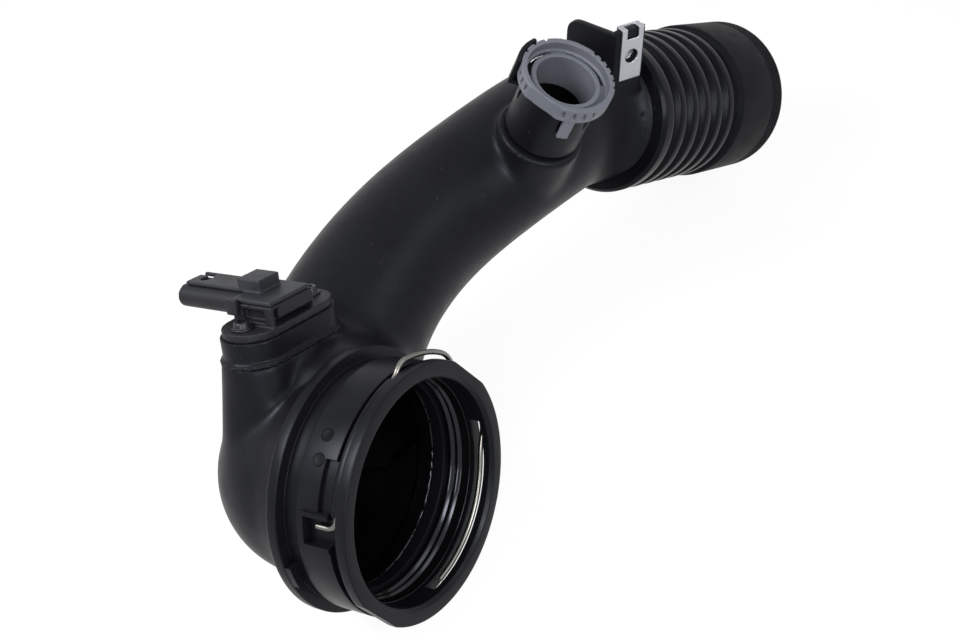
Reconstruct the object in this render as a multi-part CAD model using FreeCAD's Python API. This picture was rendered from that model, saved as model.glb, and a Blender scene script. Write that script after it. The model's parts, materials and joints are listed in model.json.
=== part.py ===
import FreeCAD, Part
import math
import os

V = FreeCAD.Vector

# Fits, in mm like every length here
SEAT_GAP = 0.1          # radial gap between pieces pressed or bonded together
TURN_GAP = 0.3          # gap round the ring that turns
CUT_MARGIN = 2.0        # how far a cutting solid runs past what it cuts

# Duct: a round elbow behind the coupler and a bent tube that leaves it
DUCT_WALL = 2.5
ELBOW_RADIUS = 39.8
ELBOW_MOUTH_RADIUS = 43.0
ELBOW_DEPTH = 47.0              # from the coupler's face to the elbow's centre
ROOT_RADIUS = 37.0              # of the tube where it leaves the elbow
TUBE_RADIUS = 30.0
TUBE_CLEARANCE = 9.0            # the tube keeps behind the flange this far outside its rim
# Stations along the tube: x, y, z and how far the radius is still towards the root's
DUCT_STATIONS = [
    (34.0, 44.3, -3.8, 0.75),
    (60.0, 54.8, 1.7, 0.35),
    (89.0, 55.7, 11.9, 0.08),
    (126.0, 51.4, 19.3, 0.0),
    (160.0, 40.1, 27.5, 0.0),
    (190.0, 32.3, 29.4, 0.0),
]

# Coupler at the elbow's mouth; depths run from its face, and the origin is where its pilot bore starts
COUPLER_PITCH = 15.7            # degrees that the mouth looks up
MOUTH_RADIUS = 41.1
MOUTH_CHAMFER = 1.2
PILOT_RADIUS = 39.0
FRONT_RING_RADIUS = 47.5
FRONT_RING_LENGTH = 4.0
BAND_RADIUS = 46.0
BAND_END = 22.0
NECK_RADIUS = 44.5
FLANGE_RADIUS = 49.0
FLANGE_START = 28.4
FLANGE_THICKNESS = 4.6
FLANGE_EDGE = 1.0
SPIGOT_LENGTH = 7.0
FLAT_DEPTH = 1.4
FLAT_ANGLES = (149.0, 334.0)
SEAL_START = 10.0
SEAL_LENGTH = 11.0
SEAL_DEPTH = 1.6
SEAL_LIPS = 4
SEAL_LIP_HEIGHT = 1.4
POCKET_ANGLES = (14.0, 32.0)
POCKET_LENGTH = 12.0
POCKET_DEPTH = 2.4
POCKET_FRAME = 1.6
LUG_ANGLES = (-8.0, 3.0)
LUG_LENGTH = 2.5

# Spring wire that locks the coupler; angles turn from -X up to +Z
WIRE_RADIUS = 1.0
WIRE_GROOVE = 3.0
WIRE_FLOOR = 43.6
WIRE_BOW_RISE = 5.0
WIRE_END_LENGTH = 8.0
WIRE_STEP = 11.0                # degrees between path points
LEG_ANGLES = (25.0, 99.0)
BOW_ANGLES = (105.0, 138.0)
CATCH_ANGLES = (200.0, 276.0)
CATCH_RADIUS = 41.2
WINDOW_ANGLES = (182.0, 284.0)
LEG_WINDOWS = ((30.0, 58.0), (62.0, 96.0))

# Rubber bellows with a plain cuff
BELLOWS_START = V(220.8, 21.9, 24.7)
BELLOWS_AXIS = V(0.918, -0.208, -0.337)
BELLOWS_SPIGOT = 16.0
SPIGOT_STEP = 0.4               # the tube's end is this much thicker inside
RIDGE_COUNT = 6
RIDGE_PITCH = 11.0
RIDGE_RADIUS = 36.4
RIDGE_CREST = 1.6
RIDGE_SHOULDER = 4.0
RIDGE_FOOT = 7.4
RIDGE_ROUND = 1.0
VALLEY_RADIUS = 32.6
LIP_START = 2.0
SADDLE_RADIUS = 33.8
CUFF_RADIUS = 37.6
CUFF_START = 67.0
CUFF_BORE = 34.0
CUFF_BORE_DEPTH = 40.0
BELLOWS_BORE = 30.6
BELLOWS_LENGTH = 110.8
CUFF_GROOVES = 4
CUFF_GROOVE_PITCH = 2.2
CUFF_GROOVE_DEPTH = 0.6
CUFF_EDGE = 1.4

# Breather port with its quick-connect cup and turning ring
VENT_BASE = V(157.2, 25.7, 36.9)
VENT_AXIS = V(-0.065, -0.363, 0.929)
VENT_TOP = 53.2
VENT_BORE = 12.5
NECK_ROOT = 12.0
NECK_TOP = 19.0
NECK_OUTER = 18.4
NECK_EDGE = 1.0
CUP_OUTER = 16.2
CUP_WALL = 2.2
CUP_FLOOR = 3.0
CUP_FOOT_GROOVE = 1.6
CUP_SLOT_ANGLES = (128.0, 214.0, 258.0)
CUP_SLOT_WIDTH = 2.0
CUP_SLOT_LENGTH = 8.0
CUP_LUG_ANGLES = (72.0, 118.0)
CUP_LUG_HEIGHT = 13.0
CUP_LUG_WALL = 1.8
VENT_RING_CORD = 0.7
RING_OUTER = 19.5
RING_HEIGHT = 6.6
RING_RECESS = 3.2               # how far the sleeve's rim lies under the ring's top edge
RING_RIM_OUTER = 14.6
RING_WALL_INNER = 17.2
RING_WEB = 1.5
RING_WEB_DROP = 0.8
RING_SLEEVE_OUTER = 13.6
RING_SLEEVE_LENGTH = 16.0
RING_FLAT_ANGLE = 178.0
RING_FLAT_DEPTH = 1.5
RING_RIB_DEPTH = 1.0
RING_RIB_WIDTH = 1.5
RING_RIB_MARGIN = 1.6
RING_RIB_ANGLES = (128.0, 139.0, 150.0, 206.0, 219.0, 232.0, 245.0)
RING_TOOTH_ANGLES = (-62.0, -51.0, -40.0, -29.0, -18.0, -7.0, 60.0, 78.0, 96.0)
RING_WINDOWS = ((-50.0, 30.0), (55.0, 125.0))
RING_WINDOW_WIDTH = 1.8
TAB_ANGLE = 220.0
TAB_WIDTH = 4.6
TAB_THICKNESS = 1.7
TAB_DROP = 11.0

# Bracket tongue with its clip nut
BRACKET_FOOT = V(214.0, 5.8, 52.0)
BRACKET_SIDE = V(0.86, -0.51, 0.0)
TONGUE_WIDTH = 15.0
TONGUE_HEIGHT = 25.0
TONGUE_THICKNESS = 3.0
TONGUE_ROOT = 10.0
GUSSET_LENGTH = 26.0
GUSSET_TURN = 22.0              # degrees that the gusset leans off square
GUSSET_DROP = 1.8
GUSSET_THICKNESS = 2.6
GUSSET_CHAMFER = 6.5
GUSSET_ROOT = 14.0
CLIP_SHEET = 0.9
CLIP_WIDTH = 11.2
CLIP_LENGTH = 25.0
CLIP_BACK_LENGTH = 19.0
CLIP_HOLE_RADIUS = 3.3
CLIP_HOLE_DROP = 12.5
CLIP_BARREL_WALL = 1.1
CLIP_BARREL_LENGTH = 4.5
CLIP_WINDOW_WIDTH = 6.0
CLIP_WINDOW_DROP = 5.0

# Plug-in sensor on its welded socket
SENSOR_FOOT = V(11.3, 51.4, 31.0)
SENSOR_LEAN = 15.0              # degrees about the coupler's axis
SOCKET_LENGTH = 51.0
SOCKET_WIDTH = 24.0
SOCKET_SHIFT = V(-2.0, -2.0, 0.0)
SOCKET_BASE = 4.0
SOCKET_TOP = 13.0
PEDESTAL_ROOT = 48.0
PEDESTAL_STEP = 1.0
PEDESTAL_FLARE = 8.0            # how much wider the pedestal is at its root
WELD_THICKNESS = 1.2
WELD_STEP = 0.8
SPIGOT_RADIUS = 7.5
SENSOR_CORD = 1.1
PROBE_RADIUS = 3.6
PROBE_LENGTH = 24.0
FLANGE_PLATE = 3.0
CASE_X = (-13.0, 5.5)
CASE_Y = (-10.0, 12.5)
CASE_TOP = 23.6
CASE_GROOVE = 1.6
CASE_GROOVE_DEPTH = 1.2
CASE_POCKET_X = (-9.5, 1.0)
CASE_POCKET_DEPTH = 2.6
COVER_THICKNESS = 1.6
COVER_STEP = 0.5
BLOCK_X = (-2.0, 8.5)
BLOCK_Y = (-6.0, 5.0)
BLOCK_HEIGHT = 4.6
TONGUE_PLATE_LENGTH = 29.0
TONGUE_PLATE_THICKNESS = 1.4
TONGUE_PLATE_Y = (-6.0, 5.2)
TONGUE_SLOT = (3.6, 5.6)
HOOD_LENGTH = 31.0
HOOD_WIDTH = 16.0
HOOD_HEIGHT = 8.6
HOOD_WALL = 1.6
HOOD_Y = 0.5
HOOD_FLOOR = 16.0
PIN_COUNT = 4
PIN_PITCH = 2.6
PIN_SIZE = 0.7
PIN_LENGTH = 9.0
SCREW_SPACING = 37.0
SCREW_HEAD_RADIUS = 2.7
SCREW_HEAD_HEIGHT = 3.2
SCREW_FLANGE_RADIUS = 4.0
SCREW_FLANGE_HEIGHT = 1.0
SCREW_SHANK_RADIUS = 1.9
SCREW_LENGTH = 9.0


def frame_at(origin, axis, side):
    """Placement whose local Z is axis and whose local X lies towards side."""
    z = V(axis).normalize()
    y = z.cross(side).normalize()
    x = y.cross(z)
    return FreeCAD.Placement(origin, FreeCAD.Rotation(x, y, z, "ZXY"))


def placed(shape, placement):
    """Copy of a shape modelled about its own axis, moved to its place."""
    copy = shape.copy()
    copy.Placement = placement.multiply(copy.Placement)
    return copy


def turned(profile, start=0.0, end=360.0):
    """Solid of revolution about local Z from (radius, height) corners."""
    points = [V(radius, 0, height) for radius, height in profile]
    face = Part.Face(Part.makePolygon(points + points[:1]))
    solid = face.revolve(V(), V(0, 0, 1), end - start)
    solid.rotate(V(), V(0, 0, 1), start)
    return solid


def ring(inner, outer, bottom, top, start=0.0, end=360.0):
    """Plain ring, or a sector of one, between two radii and two heights."""
    profile = [(inner, bottom), (outer, bottom), (outer, top), (inner, top)]
    return turned(profile, start, end)


def rod(radius, bottom, top, x=0.0, y=0.0):
    """Cylinder along local Z."""
    return Part.makeCylinder(radius, top - bottom, V(x, y, bottom))


def block(x_range, y_range, z_range):
    """Box between two limits on each local axis."""
    size = [high - low for low, high in (x_range, y_range, z_range)]
    return Part.makeBox(*size, V(x_range[0], y_range[0], z_range[0]))


def prism(points, height):
    """Straight prism on a closed outline of points."""
    return Part.Face(Part.makePolygon(points + points[:1])).extrude(height)


def stadium(length, width, bottom, top, centre=V()):
    """Prism with round ends, its length along local Y."""
    reach = (length - width) / 2.0
    half = width / 2.0
    middle = block((-half, half), (-reach, reach), (bottom, top))
    ends = [rod(half, bottom, top, 0.0, sign * reach) for sign in (-1.0, 1.0)]
    solid = middle.fuse(ends).removeSplitter()
    solid.translate(centre)
    return solid


def radial_cutter(angle, width, depth_from, depth_to, bottom, top):
    """Box that stands on a radius at an angle, for slots and ribs."""
    cutter = block((depth_from, depth_to), (-width / 2.0, width / 2.0), (bottom, top))
    cutter.rotate(V(), V(0, 0, 1), angle)
    return cutter


def cord_ring(radius, cord, height):
    """Seal ring about local Z with an eight-sided cord section."""
    corners = [math.radians(22.5 + 45.0 * number) for number in range(8)]
    return turned([(radius + cord * math.cos(turn), height + cord * math.sin(turn)) for turn in corners])


def polar(radius, angle, height):
    """Point at a radius and an angle in degrees about local Z."""
    turn = math.radians(angle)
    return V(radius * math.cos(turn), radius * math.sin(turn), height)


def rounded_path(points):
    """Wire of straight runs joined by tangent arcs as large as the runs allow."""
    share = 0.45
    edges = []
    start = points[0]
    for before, corner, after in zip(points, points[1:], points[2:]):
        reach = share * min((before - corner).Length, (after - corner).Length)
        towards = (before - corner).normalize()
        away = (after - corner).normalize()
        half = towards.getAngle(away) / 2.0
        inward = (towards + away).normalize()
        entry = corner + towards * reach
        leave = corner + away * reach
        middle = corner + inward * (reach / math.cos(half) - reach * math.tan(half))
        edges.append(Part.LineSegment(start, entry).toShape())
        edges.append(Part.Arc(entry, middle, leave).toShape())
        start = leave
    edges.append(Part.LineSegment(start, points[-1]).toShape())
    return Part.Wire(edges)


def coupler_axis():
    """Unit vector from the mouth into the duct."""
    pitch = math.radians(COUPLER_PITCH)
    return V(0.0, math.cos(pitch), -math.sin(pitch))


SEAL_END = SEAL_START + SEAL_LENGTH
COUPLER = frame_at(coupler_axis() * -SEAL_END, coupler_axis(), V(-1, 0, 0))
BELLOWS = frame_at(BELLOWS_START, BELLOWS_AXIS, V(0, 1, 0))
VENT = frame_at(VENT_BASE, VENT_AXIS, V(1, 0, 0))
BRACKET = frame_at(BRACKET_FOOT, V(0, 0, 1), BRACKET_SIDE)


def sensor_frame():
    """Frame on the elbow's top: Z out of the elbow, X along the connector."""
    lean = FreeCAD.Rotation(coupler_axis(), SENSOR_LEAN)
    up = lean.multVec(V(1, 0, 0).cross(coupler_axis()))
    return frame_at(SENSOR_FOOT, up, coupler_axis())


SENSOR = sensor_frame()
FLANGE_END = FLANGE_START + FLANGE_THICKNESS
SPIGOT_START = FLANGE_END - SPIGOT_LENGTH
SPIGOT_OUTER = PILOT_RADIUS + DUCT_WALL
SLEEVE_TOP = VENT_TOP - RING_RECESS
WEB_TOP = SLEEVE_TOP - RING_WEB_DROP
WEB_BOTTOM = WEB_TOP - RING_WEB
CUP_TOP = WEB_BOTTOM - TURN_GAP
RING_BOTTOM = VENT_TOP - RING_HEIGHT
CUP_INNER = CUP_OUTER - CUP_WALL
CLIP_HOLE_HEIGHT = TONGUE_HEIGHT - CLIP_HOLE_DROP


def tube_loft(inset):
    """Skin of the bent tube, drawn in by inset, from the elbow to the bellows."""
    corner = COUPLER.multVec(V(0, 0, ELBOW_DEPTH))
    centres = [corner] + [V(x, y, z) for x, y, z, share in DUCT_STATIONS] + [BELLOWS_START]
    shares = [1.0] + [share for x, y, z, share in DUCT_STATIONS] + [0.0]
    line = Part.BSplineCurve()
    line.interpolate(centres)
    directions = [line.tangent(line.parameter(centre))[0] for centre in centres]
    directions[-1] = BELLOWS_AXIS
    wires = []
    for centre, share, direction in zip(centres, shares, directions):
        radius = TUBE_RADIUS + share * (ROOT_RADIUS - TUBE_RADIUS) - inset
        circle = Part.Circle(V(), V(0, 0, 1), radius).toShape()
        circle.Placement = frame_at(centre, direction, V(0, 0, 1))
        wires.append(Part.Wire([circle]))
    front = rod(FLANGE_RADIUS + TUBE_CLEARANCE + inset, -TUBE_RADIUS, FLANGE_END + SEAT_GAP + inset)
    return Part.makeLoft(wires, True, False).cut(placed(front, COUPLER))


def elbow_skin(inset):
    """Tapered barrel closed by a round end, drawn in by inset."""
    radius = ELBOW_RADIUS - inset
    foot = V(0, 0, FLANGE_END + SEAT_GAP)
    mouth = V(ELBOW_MOUTH_RADIUS - inset, 0, FLANGE_END + SEAT_GAP)
    side = V(radius, 0, ELBOW_DEPTH)
    shoulder = V(0, 0, ELBOW_DEPTH) + V(1, 0, 1).normalize() * radius
    pole = V(0, 0, ELBOW_DEPTH + radius)
    edges = [
        Part.LineSegment(foot, mouth).toShape(),
        Part.LineSegment(mouth, side).toShape(),
        Part.Arc(side, shoulder, pole).toShape(),
        Part.LineSegment(pole, foot).toShape(),
    ]
    solid = Part.Face(Part.Wire(edges)).revolve(V(), V(0, 0, 1), 360.0)
    return placed(solid, COUPLER)


def duct_skin(inset):
    """Elbow and tube as one solid, drawn in by inset."""
    return elbow_skin(inset).fuse(tube_loft(inset))


def bracket_tongue():
    """Plate for the clip nut with a gusset behind its edge."""
    half = TONGUE_WIDTH / 2.0
    plate = block((-half, half), (0.0, TONGUE_THICKNESS), (-TONGUE_ROOT, TONGUE_HEIGHT))
    plate = plate.cut(
        Part.makeCylinder(
            CLIP_HOLE_RADIUS, TONGUE_THICKNESS + 2 * CUT_MARGIN,
            V(0, -CUT_MARGIN, CLIP_HOLE_HEIGHT), V(0, 1, 0)))
    gusset_top = TONGUE_HEIGHT - GUSSET_DROP
    outline = [
        V(-half, 0, -GUSSET_ROOT),
        V(-half, GUSSET_LENGTH, -GUSSET_ROOT),
        V(-half, GUSSET_LENGTH, gusset_top - GUSSET_CHAMFER),
        V(-half, GUSSET_LENGTH - GUSSET_CHAMFER, gusset_top),
        V(-half, 0, gusset_top),
    ]
    gusset = prism(outline, V(GUSSET_THICKNESS, 0, 0))
    gusset.rotate(V(-half, 0, 0), V(0, 0, 1), GUSSET_TURN)
    return placed(plate.fuse(gusset), BRACKET)


def stadium_wire(length, width, height, centre):
    """Outline with round ends at a height, its length along local Y."""
    reach = (length - width) / 2.0
    half = width / 2.0
    left = centre + V(0, reach, height)
    right = centre + V(0, -reach, height)
    across = V(half, 0, 0)
    along = V(0, half, 0)
    return Part.Wire([
        Part.Arc(left + across, left + along, left - across).toShape(),
        Part.LineSegment(left - across, right - across).toShape(),
        Part.Arc(right - across, right - along, right + across).toShape(),
        Part.LineSegment(right + across, left + across).toShape(),
    ])


def flared_pedestal():
    """Pedestal under the socket, wider towards the elbow that it grows from."""
    length = SOCKET_LENGTH + 2 * PEDESTAL_STEP
    width = SOCKET_WIDTH + 2 * PEDESTAL_STEP
    spread = 2 * PEDESTAL_FLARE
    root = stadium_wire(length + spread, width + spread, -PEDESTAL_ROOT, SOCKET_SHIFT)
    top = stadium_wire(length, width, SOCKET_BASE, SOCKET_SHIFT)
    return Part.makeLoft([root, top], True, True)


def duct_body():
    """One moulding: elbow, tube, breather neck, sensor pedestal and bracket."""
    outer = duct_skin(0.0)
    inner = duct_skin(DUCT_WALL)
    spigot = placed(rod(SPIGOT_OUTER, SPIGOT_START, FLANGE_END + DUCT_WALL), COUPLER)
    spigot_bore = placed(rod(PILOT_RADIUS, SPIGOT_START - CUT_MARGIN, FLANGE_END + DUCT_WALL), COUPLER)
    tail = placed(rod(TUBE_RADIUS, 0.0, BELLOWS_SPIGOT), BELLOWS)
    tail_radius = TUBE_RADIUS - DUCT_WALL - SPIGOT_STEP
    tail_bore = placed(rod(tail_radius, -CUT_MARGIN, BELLOWS_SPIGOT + CUT_MARGIN), BELLOWS)
    neck_profile = [
        (0.0, -NECK_ROOT),
        (NECK_OUTER, -NECK_ROOT),
        (NECK_OUTER, NECK_TOP - NECK_EDGE),
        (NECK_OUTER - NECK_EDGE, NECK_TOP),
        (0.0, NECK_TOP),
    ]
    neck = placed(turned(neck_profile), VENT)
    neck_bore = placed(rod(VENT_BORE, -NECK_ROOT, NECK_TOP + CUT_MARGIN), VENT)
    pedestal = flared_pedestal()
    sensor_bore = placed(rod(SPIGOT_RADIUS + SEAT_GAP, -PEDESTAL_ROOT, SOCKET_BASE + CUT_MARGIN), SENSOR)
    body = outer
    for feature in (spigot, tail, neck, placed(pedestal, SENSOR), bracket_tongue()):
        body = body.fuse(feature)
    for hollow in (inner, spigot_bore, tail_bore, neck_bore, sensor_bore):
        body = body.cut(hollow)
    return body


def coupler_collar():
    """Quick-release collar: front ring, wire groove, band, neck and flange."""
    groove_end = FRONT_RING_LENGTH + WIRE_GROOVE
    seal_radius = MOUTH_RADIUS + SEAL_DEPTH
    profile = [
        (MOUTH_RADIUS + MOUTH_CHAMFER, 0.0),
        (FRONT_RING_RADIUS, 0.0),
        (FRONT_RING_RADIUS, FRONT_RING_LENGTH),
        (WIRE_FLOOR, FRONT_RING_LENGTH),
        (WIRE_FLOOR, groove_end),
        (BAND_RADIUS, groove_end),
        (BAND_RADIUS, BAND_END),
        (NECK_RADIUS, BAND_END),
        (NECK_RADIUS, FLANGE_START),
        (FLANGE_RADIUS, FLANGE_START),
        (FLANGE_RADIUS, FLANGE_END - FLANGE_EDGE),
        (FLANGE_RADIUS - FLANGE_EDGE, FLANGE_END),
        (SPIGOT_OUTER + SEAT_GAP, FLANGE_END),
        (SPIGOT_OUTER + SEAT_GAP, SPIGOT_START - SEAT_GAP),
        (PILOT_RADIUS, SPIGOT_START - SEAT_GAP),
        (PILOT_RADIUS, SEAL_END),
        (seal_radius, SEAL_END),
        (seal_radius, SEAL_START),
        (MOUTH_RADIUS, SEAL_START),
        (MOUTH_RADIUS, MOUTH_CHAMFER),
    ]
    collar = turned(profile)
    frame_outer = FRONT_RING_RADIUS
    pocket_end = groove_end + POCKET_LENGTH
    frame_turn = math.degrees(POCKET_FRAME / BAND_RADIUS)
    frame = ring(
        NECK_RADIUS, frame_outer, groove_end, pocket_end + POCKET_FRAME,
        POCKET_ANGLES[0] - frame_turn, POCKET_ANGLES[1] + frame_turn)
    lug = ring(NECK_RADIUS, FLANGE_RADIUS, FLANGE_START - LUG_LENGTH, FLANGE_START, *LUG_ANGLES)
    collar = collar.fuse([frame, lug])
    pocket_floor = BAND_RADIUS - POCKET_DEPTH
    cuts = [
        ring(pocket_floor, frame_outer + CUT_MARGIN, FRONT_RING_LENGTH, pocket_end, *POCKET_ANGLES),
        ring(MOUTH_RADIUS - CUT_MARGIN, FRONT_RING_RADIUS + CUT_MARGIN, FRONT_RING_LENGTH, groove_end,
             *WINDOW_ANGLES),
    ]
    for window in LEG_WINDOWS:
        cuts.append(ring(MOUTH_RADIUS - CUT_MARGIN, WIRE_FLOOR + CUT_MARGIN,
                         FRONT_RING_LENGTH, groove_end, *window))
    for angle in FLAT_ANGLES:
        cuts.append(radial_cutter(
            angle, 2 * FRONT_RING_RADIUS, FRONT_RING_RADIUS - FLAT_DEPTH,
            FRONT_RING_RADIUS + CUT_MARGIN, -CUT_MARGIN, FRONT_RING_LENGTH))
    return placed(collar.cut(cuts), COUPLER)


def coupler_seal():
    """Rubber ring with sealing lips in the groove behind the mouth."""
    outer = MOUTH_RADIUS + SEAL_DEPTH - SEAT_GAP
    start = SEAL_START + SEAT_GAP
    pitch = (SEAL_LENGTH - 2 * SEAT_GAP) / SEAL_LIPS
    profile = [(outer, start + SEAL_LIPS * pitch), (outer, start)]
    for lip in range(SEAL_LIPS):
        profile.append((MOUTH_RADIUS, start + lip * pitch))
        profile.append((MOUTH_RADIUS - SEAL_LIP_HEIGHT, start + (lip + 0.5) * pitch))
    profile.append((MOUTH_RADIUS, start + SEAL_LIPS * pitch))
    return placed(turned(profile), COUPLER)


def retaining_wire():
    """Spring wire: bent end, leg in its groove, raised bow and inner catch."""
    height = FRONT_RING_LENGTH + WIRE_GROOVE / 2.0
    leg_radius = WIRE_FLOOR + WIRE_RADIUS + TURN_GAP
    stops = [
        (leg_radius, LEG_ANGLES),
        (leg_radius + WIRE_BOW_RISE, BOW_ANGLES),
        (leg_radius, (BOW_ANGLES[1] + WIRE_STEP, CATCH_ANGLES[0] - WIRE_STEP)),
        (CATCH_RADIUS, CATCH_ANGLES),
    ]
    points = [polar(leg_radius, LEG_ANGLES[0], height + WIRE_END_LENGTH)]
    for radius, (start, end) in stops:
        count = max(1, round((end - start) / WIRE_STEP))
        for step in range(count + 1):
            points.append(polar(radius, start + (end - start) * step / count, height))
    path = rounded_path(points)
    section = Part.Circle(points[0], points[1] - points[0], WIRE_RADIUS).toShape()
    wire = path.makePipeShell([Part.Wire([section])], True, False)
    return placed(wire, COUPLER)


def bellows_hose():
    """Rubber bellows: bonded end, ridges, saddle and cuff with fine grooves."""
    ridge_start = LIP_START + RIDGE_FOOT / 2.0
    profile = [(TUBE_RADIUS + SEAT_GAP, 0.0), (RIDGE_RADIUS - RIDGE_ROUND, 0.0)]
    for number in range(RIDGE_COUNT):
        middle = ridge_start + number * RIDGE_PITCH
        if number > 0:
            profile.append((VALLEY_RADIUS, middle - RIDGE_FOOT / 2.0))
            profile.append((RIDGE_RADIUS - RIDGE_ROUND, middle - RIDGE_SHOULDER / 2.0))
        profile.append((RIDGE_RADIUS, middle - RIDGE_CREST / 2.0))
        profile.append((RIDGE_RADIUS, middle + RIDGE_CREST / 2.0))
        profile.append((RIDGE_RADIUS - RIDGE_ROUND, middle + RIDGE_SHOULDER / 2.0))
        profile.append((VALLEY_RADIUS, middle + RIDGE_FOOT / 2.0))
    last_foot = ridge_start + (RIDGE_COUNT - 1) * RIDGE_PITCH + RIDGE_FOOT / 2.0
    profile.append((SADDLE_RADIUS, (last_foot + CUFF_START) / 2.0))
    profile.append((CUFF_RADIUS, CUFF_START))
    groove_start = BELLOWS_LENGTH - CUFF_EDGE - CUFF_GROOVES * CUFF_GROOVE_PITCH
    for number in range(CUFF_GROOVES):
        edge = groove_start + number * CUFF_GROOVE_PITCH
        profile.append((CUFF_RADIUS, edge))
        profile.append((CUFF_RADIUS - CUFF_GROOVE_DEPTH, edge + CUFF_GROOVE_PITCH / 2.0))
    profile.append((CUFF_RADIUS, BELLOWS_LENGTH - CUFF_EDGE))
    profile.append((CUFF_RADIUS - CUFF_EDGE, BELLOWS_LENGTH))
    profile.append((CUFF_BORE, BELLOWS_LENGTH))
    profile.append((CUFF_BORE, BELLOWS_LENGTH - CUFF_BORE_DEPTH))
    profile.append((BELLOWS_BORE, BELLOWS_LENGTH - CUFF_BORE_DEPTH))
    profile.append((BELLOWS_BORE, BELLOWS_SPIGOT + SEAT_GAP))
    profile.append((TUBE_RADIUS + SEAT_GAP, BELLOWS_SPIGOT + SEAT_GAP))
    return placed(turned(profile), BELLOWS)


def vent_cup():
    """Black quick-connect cup standing on the breather neck."""
    foot = NECK_TOP + SEAT_GAP
    floor_top = NECK_TOP + CUP_FLOOR
    groove_top = floor_top + 2 * VENT_RING_CORD
    profile = [
        (VENT_BORE, foot),
        (CUP_OUTER - CUP_FOOT_GROOVE, foot),
        (CUP_OUTER - CUP_FOOT_GROOVE, foot + CUP_FOOT_GROOVE),
        (CUP_OUTER, foot + CUP_FOOT_GROOVE),
        (CUP_OUTER, CUP_TOP),
        (CUP_INNER, CUP_TOP),
        (CUP_INNER, groove_top + VENT_RING_CORD),
        (VENT_BORE + VENT_RING_CORD, groove_top),
        (CUP_INNER, groove_top),
        (CUP_INNER, floor_top),
        (VENT_BORE, floor_top),
    ]
    lug_inner = RING_OUTER + TURN_GAP
    lug_outer = lug_inner + CUP_LUG_WALL
    lug_bottom = VENT_TOP - CUP_LUG_HEIGHT
    lug = ring(lug_inner, lug_outer, lug_bottom, VENT_TOP, *CUP_LUG_ANGLES)
    lug_foot = ring(CUP_INNER, lug_outer, lug_bottom, lug_bottom + CUP_LUG_WALL, *CUP_LUG_ANGLES)
    cup = turned(profile).fuse([lug, lug_foot])
    slot_top = RING_BOTTOM - CUP_LUG_WALL
    slots = []
    for angle in CUP_SLOT_ANGLES:
        slots.append(radial_cutter(angle, CUP_SLOT_WIDTH, CUP_INNER + CUP_WALL / 2.0,
                                   CUP_OUTER + CUT_MARGIN, slot_top - CUP_SLOT_LENGTH, slot_top))
    return placed(cup.cut(slots), VENT)


def vent_o_ring():
    """Seal that sits on the cup's floor."""
    centre = CUP_INNER - VENT_RING_CORD - SEAT_GAP
    height = NECK_TOP + CUP_FLOOR + VENT_RING_CORD
    return placed(cord_ring(centre, VENT_RING_CORD - SEAT_GAP, height), VENT)


def vent_lock_ring():
    """Grey ring that turns on the cup: ribbed skirt, web, inner sleeve and tab."""
    skirt_inner = CUP_OUTER + TURN_GAP
    sleeve_bottom = SLEEVE_TOP - RING_SLEEVE_LENGTH
    body = turned([
        (VENT_BORE, sleeve_bottom),
        (RING_SLEEVE_OUTER, sleeve_bottom),
        (RING_SLEEVE_OUTER, WEB_BOTTOM),
        (skirt_inner, WEB_BOTTOM),
        (skirt_inner, RING_BOTTOM),
        (RING_OUTER, RING_BOTTOM),
        (RING_OUTER, VENT_TOP),
        (RING_WALL_INNER, VENT_TOP),
        (RING_WALL_INNER, WEB_TOP),
        (RING_RIM_OUTER, WEB_TOP),
        (RING_RIM_OUTER, SLEEVE_TOP),
        (VENT_BORE, SLEEVE_TOP),
    ])
    tab = radial_cutter(TAB_ANGLE, TAB_WIDTH, skirt_inner, skirt_inner + TAB_THICKNESS,
                        RING_BOTTOM - TAB_DROP, RING_BOTTOM + RING_WEB)
    tab = tab.common(ring(skirt_inner, RING_OUTER, RING_BOTTOM - TAB_DROP, VENT_TOP))
    body = body.fuse(tab)
    low = RING_BOTTOM - CUT_MARGIN
    high = VENT_TOP + CUT_MARGIN
    cuts = [radial_cutter(RING_FLAT_ANGLE, 2 * RING_OUTER, RING_OUTER - RING_FLAT_DEPTH,
                          RING_OUTER + CUT_MARGIN, low, high)]
    for angle in RING_RIB_ANGLES:
        cuts.append(radial_cutter(angle, RING_RIB_WIDTH, RING_OUTER - RING_RIB_DEPTH, RING_OUTER + CUT_MARGIN,
                                  RING_BOTTOM + RING_RIB_MARGIN, VENT_TOP - RING_RIB_MARGIN))
    for angle in RING_TOOTH_ANGLES:
        cuts.append(radial_cutter(angle, RING_RIB_WIDTH, RING_OUTER - RING_RIB_DEPTH,
                                  RING_OUTER + CUT_MARGIN, low, high))
    for start, end in RING_WINDOWS:
        cuts.append(ring(RING_RIM_OUTER, RING_RIM_OUTER + RING_WINDOW_WIDTH,
                         WEB_BOTTOM - CUT_MARGIN, WEB_TOP + CUT_MARGIN, start, end))
    return placed(body.cut(cuts), VENT)


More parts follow.
